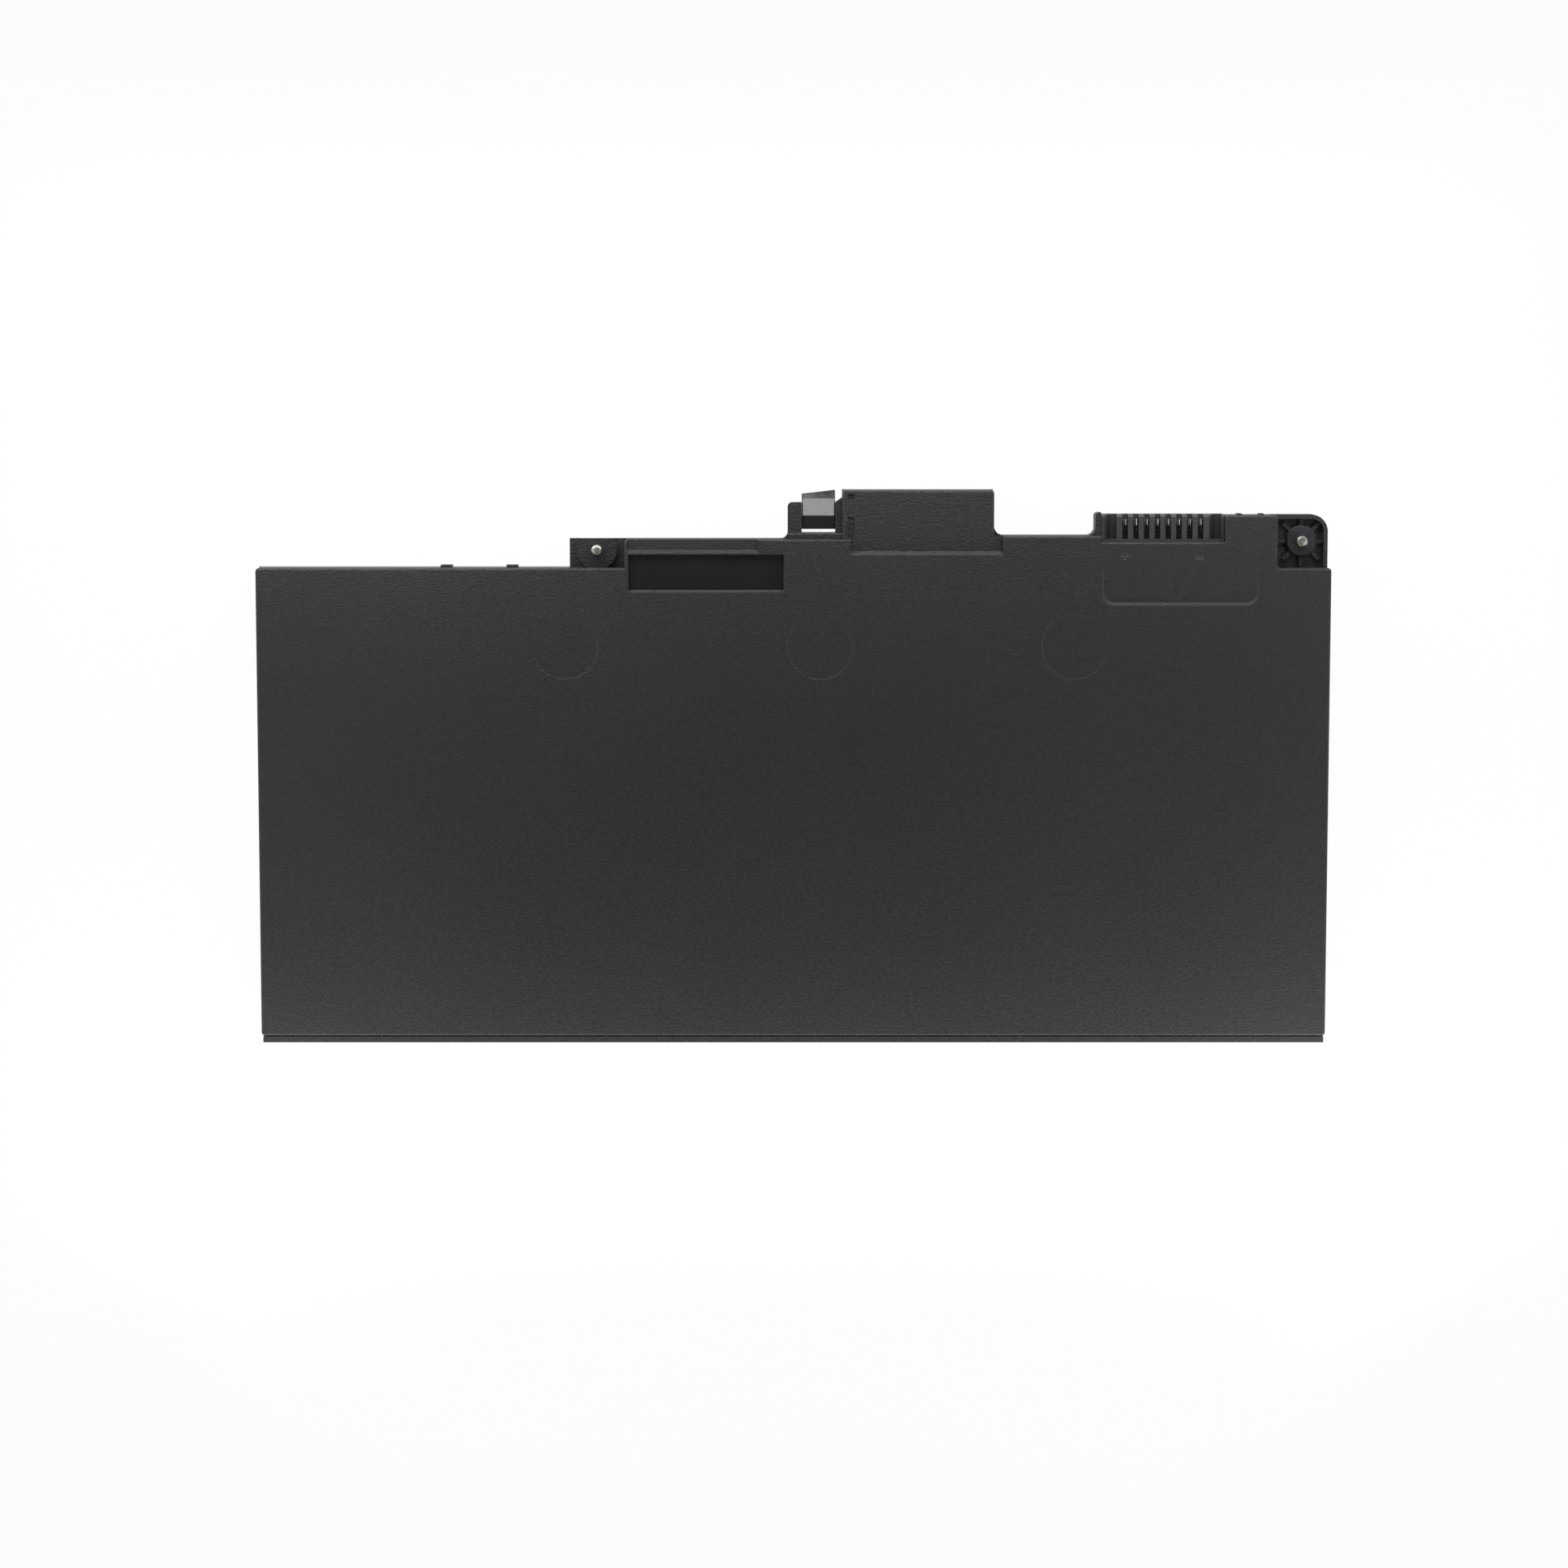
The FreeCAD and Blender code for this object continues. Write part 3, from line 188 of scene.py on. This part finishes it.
casePlastic = {
    "dark": (0.0152, 0.0157, 0.0179),
    "light": (0.0250, 0.0256, 0.0283),
    "patchSize": 38.0,
    "patchShare": 0.25,
    "fleckSize": 0.42,
    "fleckStretch": (0.55, 1.0, 1.0),
    "fleckRoughness": 0.55,
    "fleckDepth": 0.19,
    "coarseY": 35.0,  # beyond this line, towards the stepped edge, the flecks have their full depth
    "quietY": -35.0,  # and below this one they have the quiet share of it
    "quietShare": 0.4,
    "pebbleSize": 0.9,
    "pebbleDepth": 0.02,
    "roughness": (0.44, 0.60),
    "specular": 0.38,
}


def grainedPlastic(name, look, grooveDepth=0.0):
    # Spark-eroded mould grain: flecks drawn out along X over small pebbles, on broad faint patches of colour.
    # Where grooves are asked for, the mesh's groove attribute sinks the surface by that depth.
    material, tree, shader = newMaterial(name)
    patch = noiseField(tree, look["patchSize"])
    fleck = noiseField(tree, look["fleckSize"], look["fleckStretch"], look["fleckRoughness"])
    place = addNode(tree, "ShaderNodeTexCoord").outputs["Object"]
    pebble = addNode(tree, "ShaderNodeTexVoronoi", {"Vector": place},
                     {"Scale": 1 / (look["pebbleSize"] * mm), "Randomness": 1.0}, feature="SMOOTH_F1")
    tone = addNode(tree, "ShaderNodeMix", {"A": fleck, "B": patch}, {"Factor": look["patchShare"]})
    color = mixedColor(tree, tone.outputs["Result"], look["dark"], look["light"])
    tree.links.new(color, shader.inputs["Base Color"])
    tree.links.new(mapped(tree, fleck, *look["roughness"]), shader.inputs["Roughness"])
    pebbles = bumpFrom(tree, pebble.outputs["Distance"], look["pebbleDepth"])
    if grooveDepth:
        groove = addNode(tree, "ShaderNodeAttribute", attribute_name="groove").outputs["Fac"]
        pebbles = bumpFrom(tree, groove, -grooveDepth, below=pebbles)
    upward = addNode(tree, "ShaderNodeSeparateXYZ", {"Vector": place}).outputs["Y"]
    share = mapped(tree, upward, look["quietShare"], 1.0, (look["quietY"] * mm, look["coarseY"] * mm))
    height = addNode(tree, "ShaderNodeMath", operation="MULTIPLY")
    tree.links.new(fleck, height.inputs[0])
    tree.links.new(share, height.inputs[1])
    grain = bumpFrom(tree, height.outputs[0], look["fleckDepth"], below=pebbles)
    tree.links.new(grain, shader.inputs["Normal"])
    shader.inputs["Specular IOR Level"].default_value = look["specular"]
    return material


finishes = {
    # The connector plastic's colours sit above its own dark tone: partly its own colour, partly painted light
    # standing in for light that the comb's guides and slots don't get.
    "connectorPlasticWithPaintedLight": {"dark": (0.040, 0.040, 0.041), "light": (0.050, 0.050, 0.051), "patchSize": 6.0,
                         "grainSize": 0.25, "depth": 0.006, "roughness": (0.38, 0.50)},
    "windowFilm": {"dark": (0.0082, 0.0082, 0.0112), "light": (0.0128, 0.0127, 0.0124), "patchSize": 11.0,
                   "grainSize": 3.0, "depth": 0.01, "roughness": (0.16, 0.24)},
    "pullFilm": {"dark": (0.0110, 0.0110, 0.0116), "light": (0.0145, 0.0145, 0.0151), "patchSize": 4.0,
                 "grainSize": 1.2, "depth": 0.004, "roughness": (0.14, 0.22)},
    "contactMetal": {"dark": (0.50, 0.49, 0.46), "light": (0.64, 0.63, 0.60), "patchSize": 0.8,
                     "grainSize": 0.12, "depth": 0.002, "roughness": (0.40, 0.55), "metallic": 1.0},
    "screwSteel": {"dark": (0.32, 0.31, 0.27), "light": (0.52, 0.51, 0.46), "patchSize": 0.9,
                   "grainSize": 0.10, "depth": 0.003, "roughness": (0.28, 0.44), "metallic": 1.0},
    "pouchFoil": {"dark": (0.55, 0.56, 0.57), "light": (0.72, 0.73, 0.74), "patchSize": 20.0,
                  "grainSize": 5.0, "depth": 0.06, "roughness": (0.30, 0.45), "metallic": 1.0},
    "cellTape": {"dark": (0.66, 0.63, 0.55), "light": (0.78, 0.75, 0.68), "patchSize": 12.0,
                 "grainSize": 0.6, "depth": 0.01, "roughness": (0.55, 0.70)},
    "nickelStrip": {"dark": (0.52, 0.50, 0.45), "light": (0.68, 0.66, 0.60), "patchSize": 3.0,
                    "grainSize": 0.2, "depth": 0.003, "roughness": (0.25, 0.40), "metallic": 1.0,
                    "stretch": (0.08, 1.0, 1.0)},
    "boardMask": {"dark": (0.010, 0.085, 0.035), "light": (0.018, 0.130, 0.055), "patchSize": 2.4,
                  "grainSize": 0.5, "depth": 0.012, "roughness": (0.30, 0.42)},
    "chipPackage": {"dark": (0.016, 0.016, 0.017), "light": (0.026, 0.026, 0.027), "patchSize": 1.5,
                    "grainSize": 0.08, "depth": 0.004, "roughness": (0.50, 0.65)},
    "fuseCeramic": {"dark": (0.62, 0.60, 0.55), "light": (0.74, 0.72, 0.68), "patchSize": 1.5,
                    "grainSize": 0.10, "depth": 0.003, "roughness": (0.40, 0.55)},
    "shuntFoil": {"dark": (0.035, 0.030, 0.026), "light": (0.065, 0.055, 0.048), "patchSize": 1.5,
                  "grainSize": 0.10, "depth": 0.004, "roughness": (0.45, 0.60)},
    "capacitorCeramic": {"dark": (0.34, 0.22, 0.12), "light": (0.44, 0.31, 0.18), "patchSize": 0.6,
                         "grainSize": 0.06, "depth": 0.002, "roughness": (0.35, 0.50)},
}


def plainFinish(name, look):
    # Two close colours in soft patches, with a fine grain in the roughness and the bump.
    material, tree, shader = newMaterial(name)
    patch = noiseField(tree, look["patchSize"])
    grain = noiseField(tree, look["grainSize"], look.get("stretch", (1, 1, 1)))
    tree.links.new(mixedColor(tree, patch, look["dark"], look["light"]), shader.inputs["Base Color"])
    tree.links.new(mapped(tree, grain, *look["roughness"]), shader.inputs["Roughness"])
    tree.links.new(bumpFrom(tree, grain, look["depth"]), shader.inputs["Normal"])
    shader.inputs["Metallic"].default_value = look.get("metallic", 0.0)
    return material


made = {name: plainFinish(name, look) for name, look in finishes.items()}
made["casePlastic"] = grainedPlastic("casePlastic", casePlastic)
slotFinish = {
    "case_plastic": "casePlastic",
    "window_film": "windowFilm",
    # The connector finish carries painted light as well as the plastic's own colour.
    "connector_plastic": "connectorPlasticWithPaintedLight",
    "contact_metal": "contactMetal",
    "screw_steel": "screwSteel",
    "pull_film": "pullFilm",
    "pouch_foil": "pouchFoil",
    "tape": "cellTape",
    "nickel": "nickelStrip",
    "board": "boardMask",
    "chip": "chipPackage",
    "fuse_body": "fuseCeramic",
    "shunt_body": "shuntFoil",
    "capacitor_body": "capacitorCeramic",
}
for entry in frame["record"]["subparts"]:
    mesh = nodes[entry["node"]].data
    mesh.materials.clear()
    mesh.materials.append(made[slotFinish[entry["material_slot"]]])
print("finishes made:", len(made))


# pull tab

pullTab = {
    "film": 0.16,
    "bend": 0.3,
    "loopLength": 2.45,
    "loopHeight": 2.3,
    "kneeBack": 1.45,  # of the knee, from the far end of the solid
    "kneeRise": 2.0,  # of the knee over the lowest point
    "tailOut": 0.3,
    "tailSlope": 0.7,
    "slant": 0.75,
    "overhang": 0.06,
    "ripple": 0.02,
    "rippleTurn": 5.0,  # in radians, from side to side
    "rippleStart": 0.7,
    "columns": 25,
    "cornerPasses": 4,
    "crease": 60.0,
}


def makePullTab(look):
    # A ribbon: a rounded path in Y and Z, carried across X, whose free end runs out further on one side.
    low, high = (np.array(corner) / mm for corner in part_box("pull_tab"))
    half = look["film"] / 2
    back = low[1] + half
    peak = high[2] - half
    foot = peak - look["loopHeight"]
    front = back + look["loopLength"]
    tailY = high[1] + look["tailOut"] - look["slant"]
    kneeY = high[1] - look["kneeBack"]
    kneeZ = low[2] + look["kneeRise"]
    tailZ = kneeZ - look["tailSlope"] * (tailY - kneeY)
    corners = [(tailY, tailZ + half), (kneeY, kneeZ + half), (front, peak), (back, peak),
               (back, foot), (front, foot), (kneeY, kneeZ - half), (tailY, tailZ - half)]
    path = roundedPath(corners, look["bend"], look["cornerPasses"])
    across = np.linspace(0, 1, look["columns"])
    reach = smoothStep(path[:, 0], kneeY, tailY)[:, None]
    wave = look["ripple"] * np.sin(look["rippleTurn"] * across + look["rippleStart"])[None, :] * reach
    left = low[0] - look["overhang"]
    right = high[0] + look["overhang"]
    x = np.broadcast_to(left + across * (right - left), (len(path), len(across)))
    further = look["slant"] * reach * across
    y = path[:, :1] + further
    z = path[:, 1:] + wave - look["tailSlope"] * further
    grid = np.stack((x, y, z), axis=-1)
    piece = meshPiece("pullTabFilm", [(grid, False)], made["pullFilm"], look["crease"])
    sheet = piece.modifiers.new("sheet", "SOLIDIFY")
    sheet.thickness = look["film"] * mm
    sheet.offset = 0.0
    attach(piece, "pack")
    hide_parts("pull_tab")


makePullTab(pullTab)
print("pull tab made")


# captive screws

captiveScrew = {
    "headHeight": 0.9,
    "neckRadius": 0.75,
    "threadLength": 2.0,
    "threadRadius": 1.0,
    "pitch": 0.4,
    "threadDepth": 0.17,
    "threadStart": 0.2,  # heights over which the thread sets in and runs out
    "threadEnd": 0.1,
    "bevel": 0.22,
    "tipDome": 0.16,
    "crossReach": 1.15,
    "crossWidth": 0.30,  # from the middle of an arm
    "crossDepth": 0.55,
    "crossFlank": 0.16,
    "edgeStep": 0.05,  # from a corner of the profile to its next point
    "shoulderStep": 0.02,
    "crestStep": 0.03,
    "facePoints": 40,
    "bevelPoints": 4,
    "threadPoints": 70,
    "tipPoints": 12,
    "turnPoints": 96,
    "crease": 32.0,
}
rightScrew = {**captiveScrew, "tipDome": 0.06}  # its tip is cut flatter


# A surface of revolution: radius and height run along the profile, and the thread pulls the radius in by a
# triangle wave of height in pitches minus the share of a turn. The cross is cut into the head from below.
def screwGrid(centre, foot, tip, headRadius, look):
    headTop = foot + look["headHeight"]
    shoulder = tip - look["threadLength"]
    bevel = look["bevel"]
    crest = look["threadRadius"]
    rim = tip - look["tipDome"]
    threadTop = rim - bevel
    neck = look["neckRadius"]
    step = look["edgeStep"]
    crestStep = look["crestStep"]
    facePoints = look["facePoints"]
    bevelPoints = look["bevelPoints"]
    threadPoints = look["threadPoints"]
    tipRadius = np.linspace(crest - bevel - step, 0, look["tipPoints"])
    stations = [
        (np.linspace(0, headRadius - bevel, facePoints), np.full(facePoints, foot)),
        (np.linspace(headRadius - bevel, headRadius, bevelPoints),
         np.linspace(foot, foot + bevel, bevelPoints)),
        (np.full(2, headRadius), np.array([foot + bevel + step, headTop])),
        (np.linspace(headRadius - step, neck, bevelPoints), np.full(bevelPoints, headTop)),
        (np.full(2, neck), np.array([headTop + step, shoulder - look["shoulderStep"]])),
        (np.full(threadPoints, crest), np.linspace(shoulder, threadTop, threadPoints)),
        (np.linspace(crest - crestStep, crest - bevel, bevelPoints),
         np.linspace(threadTop + crestStep, rim, bevelPoints)),
        (tipRadius, tip - look["tipDome"] * (tipRadius / (crest - bevel)) ** 2),
    ]
    radius = np.concatenate([r for r, z in stations])[:, None]
    height = np.concatenate([z for r, z in stations])[:, None]
    turn = np.linspace(0, 2 * math.pi, look["turnPoints"], endpoint=False)[None, :]
    phase = (height - shoulder) / look["pitch"] - turn / (2 * math.pi)
    valley = 1 - np.abs(2 * (phase - np.floor(phase)) - 1)
    onThread = smoothStep(height, shoulder, shoulder + look["threadStart"])
    onThread = onThread * (1 - smoothStep(height, threadTop - look["threadEnd"], threadTop))
    turned = radius - look["threadDepth"] * valley * onThread
    a = np.abs(turned * np.cos(turn))
    b = np.abs(turned * np.sin(turn))
    armA = np.maximum(a - look["crossReach"], b - look["crossWidth"])
    armB = np.maximum(b - look["crossReach"], a - look["crossWidth"])
    inCross = np.clip(-np.minimum(armA, armB) / look["crossFlank"], 0, 1) * (height <= foot)
    sunk = look["crossDepth"] * inCross
    x = centre[0] + turned * np.cos(turn)
    y = centre[1] + turned * np.sin(turn)
    return np.stack((x, y, height + sunk), axis=-1)


def makeScrew(name, node, body, look):
    low, high = (np.array(corner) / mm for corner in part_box(node))
    centre = (low + high) / 2
    grid = screwGrid(centre, low[2], high[2], (high[0] - low[0]) / 2, look)
    piece = meshPiece(name, [(grid, True)], made["screwSteel"], look["crease"])
    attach(piece, body)
    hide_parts(node)


makeScrew("threadedScrewLeft", "captive_screw_left", "left_screw", captiveScrew)
makeScrew("threadedScrewRight", "captive_screw_right", "right_screw", rightScrew)
print("screws made")


# connector contacts

forkContact = {
    "count": 8,
    "pitch": 2.106,
    "sheet": 0.2,
    "openGap": 0.34,
    "pinchGap": 0.16,
    "mouthGap": 0.26,
    "bowFrom": 0.05,  # these four and the peak are shares of the arm's length
    "pinchAt": 0.7,
    "mouthFrom": 0.72,
    "riseFrom": 0.15,
    "peak": 0.5,
    "tailDrop": 0.9,
    "leftDrop": 0.7,
    "fall": 0.45,
    "squareness": 0.45,  # power of the superellipse: 1 is an ellipse, and less is squarer
    "pathPoints": 28,
    "edgePoints": 24,
    "crease": 60.0,
}


# One spring arm: a superellipse in X and Z carried along Y, on a path that bows inwards to the pinch and
# opens again at the mouth. Its upper edge rises from the tail to a peak. From there the right arm falls to
# the mouth, and the left arm lies lower and stays level. Both ends shrink to a point.
def contactArm(middle, side, low, high, look):
    t = np.linspace(0, 1, look["pathPoints"])
    closing = smoothStep(t, look["bowFrom"], look["pinchAt"])
    opening = smoothStep(t, look["mouthFrom"], 1.0)
    bow = look["openGap"] + (look["pinchGap"] - look["openGap"]) * closing
    bow = bow + (look["mouthGap"] - look["pinchGap"]) * opening
    length = high[1] - low[1]
    top = high[2] - look["tailDrop"] * (1 - smoothStep(t, look["riseFrom"], look["peak"]))
    if side < 0:
        top = top - look["leftDrop"]
    else:
        top = top - look["fall"] * length * np.maximum(t - look["peak"], 0)
    turn = np.linspace(0, 2 * math.pi, look["edgePoints"], endpoint=False)
    edgeX = np.sign(np.cos(turn)) * np.abs(np.cos(turn)) ** look["squareness"] * look["sheet"] / 2
    edgeZ = np.sign(np.sin(turn)) * np.abs(np.sin(turn)) ** look["squareness"]
    closed = np.ones(len(t))
    closed[[0, -1]] = 0.0
    x = middle + side * bow[:, None] + closed[:, None] * edgeX[None, :]
    y = np.broadcast_to((low[1] + t * length)[:, None], x.shape)
    z = (low[2] + top)[:, None] / 2 + (closed * (top - low[2]))[:, None] * edgeZ[None, :] / 2
    return np.stack((x, y, z), axis=-1)


def makeContacts(look):
    low, high = (np.array(corner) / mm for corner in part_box("connector_contacts"))
    first = (low[0] + high[0]) / 2 - (look["count"] - 1) * look["pitch"] / 2
    arms = [(contactArm(first + i * look["pitch"], side, low, high, look), True)
            for i in range(look["count"]) for side in (-1, 1)]
    piece = meshPiece("forkContacts", arms, made["contactMetal"], look["crease"])
    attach(piece, "pack")
    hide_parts("connector_contacts")


makeContacts(forkContact)
print("contacts made")


# polarity marks

polarityMark = {
    "plusPlace": (64.77, 41.91),
    "minusPlace": (79.36, 41.43),
    "rampEdge": 43.24,  # where the panel's floor leaves the face
    "rampSlope": 0.03305,
    "padRadius": 1.9,
    "padRise": 0.03,
    "padSunk": 0.008,
    "padFade": 1.1,
    "skin": 0.003,  # least rise of a stroke's floor over the panel, and of the face over the pad
    "backDrop": 0.1,
    "backEdge": 0.3,
    "strokeLength": 1.2,
    "strokeWidth": 0.9,
    "strokeCut": 0.03,
    "strokeShade": 0.34,  # depth that the finish adds to the cut
    "rings": 45,
    "turnPoints": 104,
    "crease": 60.0,
}
made["markedPlastic"] = grainedPlastic("markedPlastic", casePlastic, polarityMark["strokeShade"])


# One along the middle of a stroke, falling with the square of the distance from it to nought at its edge.
def strokeShare(u, v, crossed, look):
    reach = look["strokeLength"] / 2
    nearest = np.hypot(np.maximum(np.abs(u) - reach, 0), v)
    if crossed:
        nearest = np.minimum(nearest, np.hypot(u, np.maximum(np.abs(v) - reach, 0)))
    return np.clip(1 - (2 * nearest / look["strokeWidth"]) ** 2, 0, 1)


# A low round pad on the panel's ramp, in rings: its height fades under the ramp at the rim and stops below
# the face, the strokes are cut into it down to a thin skin over the ramp, and a second grid closes it below.
def markGrids(place, face, crossed, look):
    radius = np.linspace(0, look["padRadius"], look["rings"])[:, None]
    turn = np.linspace(0, 2 * math.pi, look["turnPoints"], endpoint=False)[None, :]
    u = radius * np.cos(turn)
    v = radius * np.sin(turn)
    fade = smoothStep(look["padRadius"] - radius, 0, look["padFade"])
    x = place[0] + u
    y = place[1] + v
    floor = face - look["rampSlope"] * np.maximum(look["rampEdge"] - y, 0)
    rise = (look["padRise"] + look["padSunk"]) * fade - look["padSunk"]
    pad = np.minimum(floor + rise, face - look["skin"])
    lowest = np.minimum(pad, floor + look["skin"])
    top = np.maximum(pad - look["strokeCut"] * strokeShare(u, v, crossed, look), lowest)
    back = floor - look["padSunk"]
    back = back - look["backDrop"] * np.minimum((look["padRadius"] - radius) / look["backEdge"], 1)
    return [(np.stack((x, y, level), axis=-1), True) for level in (top, back)]


def makeMarks(look):
    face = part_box("rear_case")[1].z / mm
    marks = (("plusMark", look["plusPlace"], True), ("minusMark", look["minusPlace"], False))
    for name, place, crossed in marks:
        piece = meshPiece(name, markGrids(place, face, crossed, look), made["markedPlastic"], look["crease"])
        points = np.empty(len(piece.data.vertices) * 3, np.float32)
        piece.data.vertices.foreach_get("co", points)
        u, v = (points.reshape(-1, 3)[:, :2] / mm - place).T
        groove = piece.data.attributes.new("groove", "FLOAT", "POINT")
        groove.data.foreach_set("value", strokeShare(u, v, crossed, look).astype(np.float32))
        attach(piece, "pack")


makeMarks(polarityMark)
print("marks made")


# camera, floor and light

cameraView = {
    "place": (-1.832, 78.474, 782.909),
    "tilt": -6.0,
    "focalPixels": 4889.0,
    "framePixels": 1932.0,
    "sensor": 36.0,
    "clipStart": 10.0,
}


def makeCamera(look):
    data = bpy.data.cameras.new("photoCamera")
    data.sensor_width = look["sensor"]
    data.lens = look["focalPixels"] / look["framePixels"] * look["sensor"]
    data.clip_start = look["clipStart"] * mm
    camera = bpy.data.objects.new("photoCamera", data)
    camera.location = Vector(look["place"]) * mm
    camera.rotation_euler = (math.radians(look["tilt"]), 0, 0)
    bpy.context.scene.collection.objects.link(camera)
    bpy.context.scene.camera = camera


studio = {
    "floorHalf": 4.0,  # in metres
    "floorDrop": 0.05,  # in millimetres, below the pack
    "floorColor": (0.92, 0.92, 0.92, 1),
    "white": (1, 1, 1, 1),
    "whiteShare": 0.96,  # how much of the floor is plain white to the camera; the rest takes the shadow
    "horizon": (0.35, 0.35, 0.35, 1),
    "overhead": (0.16, 0.16, 0.165, 1),
    "overheadFrom": 0.35,
    "overheadTo": 0.9,
    "whiteTo": 0.15,  # up to this height the camera and mirrors see a white horizon
}
lamps = [
    {"name": "frontStrip", "place": (0, -92, 36), "aim": (0, -30, 0), "size": (280, 30), "power": 0.110},
    {"name": "backStrip", "place": (-10, 112, 45), "aim": (-10, 30, 0), "size": (300, 30), "power": 0.172},
    {"name": "leftBox", "place": (-200, -10, 110), "aim": (-40, 0, 0), "size": (60, 160), "power": 0.068},
    {"name": "rightBox", "place": (200, -10, 110), "aim": (40, 0, 0), "size": (60, 160), "power": 0.081},
    {"name": "leftCorner", "place": (-125, -95, 40), "aim": (-80, -30, 0), "size": (60, 60), "power": 0.026},
    {"name": "rightCorner", "place": (125, -95, 40), "aim": (80, -30, 0), "size": (60, 60), "power": 0.038},
    {"name": "backRight", "place": (135, 70, 36), "aim": (90, 25, 0), "size": (50, 30), "power": 0.007},
    {"name": "backMiddle", "place": (35, 92, 34), "aim": (35, 45, 5), "size": (80, 20), "power": 0.006},
    {"name": "backLeft", "place": (-90, 80, 38), "aim": (-80, 25, 0), "size": (80, 30), "power": 0.021},
]


# One for rays from the camera, from mirrors and through glass, and nought for the rest.
def seenRays(tree):
    rays = addNode(tree, "ShaderNodeLightPath").outputs
    seen = rays["Is Camera Ray"]
    for name in ("Is Glossy Ray", "Is Transmission Ray"):
        either = addNode(tree, "ShaderNodeMath", operation="MAXIMUM")
        tree.links.new(seen, either.inputs[0])
        tree.links.new(rays[name], either.inputs[1])
        seen = either.outputs[0]
    return seen


def floorMaterial(look):
    material, tree, shader = newMaterial("paleFloor")
    tree.nodes.remove(shader)
    share = addNode(tree, "ShaderNodeMath", operation="MULTIPLY")
    tree.links.new(seenRays(tree), share.inputs[0])
    share.inputs[1].default_value = look["whiteShare"]
    matte = addNode(tree, "ShaderNodeBsdfDiffuse", values={"Color": look["floorColor"]})
    white = addNode(tree, "ShaderNodeEmission", values={"Color": look["white"], "Strength": 1.0})
    mixed = addNode(tree, "ShaderNodeMixShader", {"Fac": share.outputs[0]})
    tree.links.new(matte.outputs[0], mixed.inputs[1])
    tree.links.new(white.outputs[0], mixed.inputs[2])
    tree.links.new(mixed.outputs[0], tree.nodes["Material Output"].inputs["Surface"])
    return material


def makeFloor(look):
    half = look["floorHalf"]
    level = cadBox[0][2] - look["floorDrop"] * mm
    mesh = bpy.data.meshes.new("paleFloor")
    mesh.from_pydata([(-half, -half, level), (half, -half, level), (half, half, level), (-half, half, level)],
                     [], [(0, 1, 2, 3)])
    mesh.materials.append(floorMaterial(look))
    floor = bpy.data.objects.new("paleFloor", mesh)
    bpy.context.scene.collection.objects.link(floor)


# A colour for each height, blended between the stops.
def skyRamp(tree, upward, stops):
    ramp = addNode(tree, "ShaderNodeValToRGB", {"Fac": upward})
    for _ in stops[2:]:
        ramp.color_ramp.elements.new(1.0)
    for element, (height, color) in zip(ramp.color_ramp.elements, stops):
        element.position = height
        element.color = color
    return ramp.outputs["Color"]


def makeWorld(look):
    # A tent: pale round the horizon and dimmer overhead, where the camera looks in. To the camera and to
    # mirrors its lowest part is white, like the floor.
    world = bpy.data.worlds.new("whiteTent")
    world.use_nodes = True
    tree = world.node_tree
    direction = addNode(tree, "ShaderNodeTexCoord").outputs["Generated"]
    upward = addNode(tree, "ShaderNodeSeparateXYZ", {"Vector": direction}).outputs["Z"]
    tentStops = [(look["overheadFrom"], look["horizon"]), (look["overheadTo"], look["overhead"])]
    tent = tree.nodes["Background"]
    tree.links.new(skyRamp(tree, upward, tentStops), tent.inputs["Color"])
    white = addNode(tree, "ShaderNodeBackground")
    whiteStops = [(look["whiteTo"], look["white"])] + tentStops
    tree.links.new(skyRamp(tree, upward, whiteStops), white.inputs["Color"])
    mixed = addNode(tree, "ShaderNodeMixShader", {"Fac": seenRays(tree)})
    tree.links.new(tent.outputs[0], mixed.inputs[1])
    tree.links.new(white.outputs[0], mixed.inputs[2])
    tree.links.new(mixed.outputs[0], tree.nodes["World Output"].inputs["Surface"])
    bpy.context.scene.world = world


def makeLamp(look):
    data = bpy.data.lights.new(look["name"], "AREA")
    data.shape = "RECTANGLE"
    data.size = look["size"][0] * mm
    data.size_y = look["size"][1] * mm
    data.energy = look["power"]
    lamp = bpy.data.objects.new(look["name"], data)
    lamp.location = Vector(look["place"]) * mm
    toAim = (Vector(look["aim"]) - Vector(look["place"])) * mm
    lamp.rotation_euler = toAim.to_track_quat("-Z", "Y").to_euler()
    lamp.visible_camera = False
    bpy.context.scene.collection.objects.link(lamp)


makeCamera(cameraView)
makeFloor(studio)
makeWorld(studio)
for lamp in lamps:
    makeLamp(lamp)
bpy.context.scene.view_settings.view_transform = "Standard"
print("camera, floor and light set")
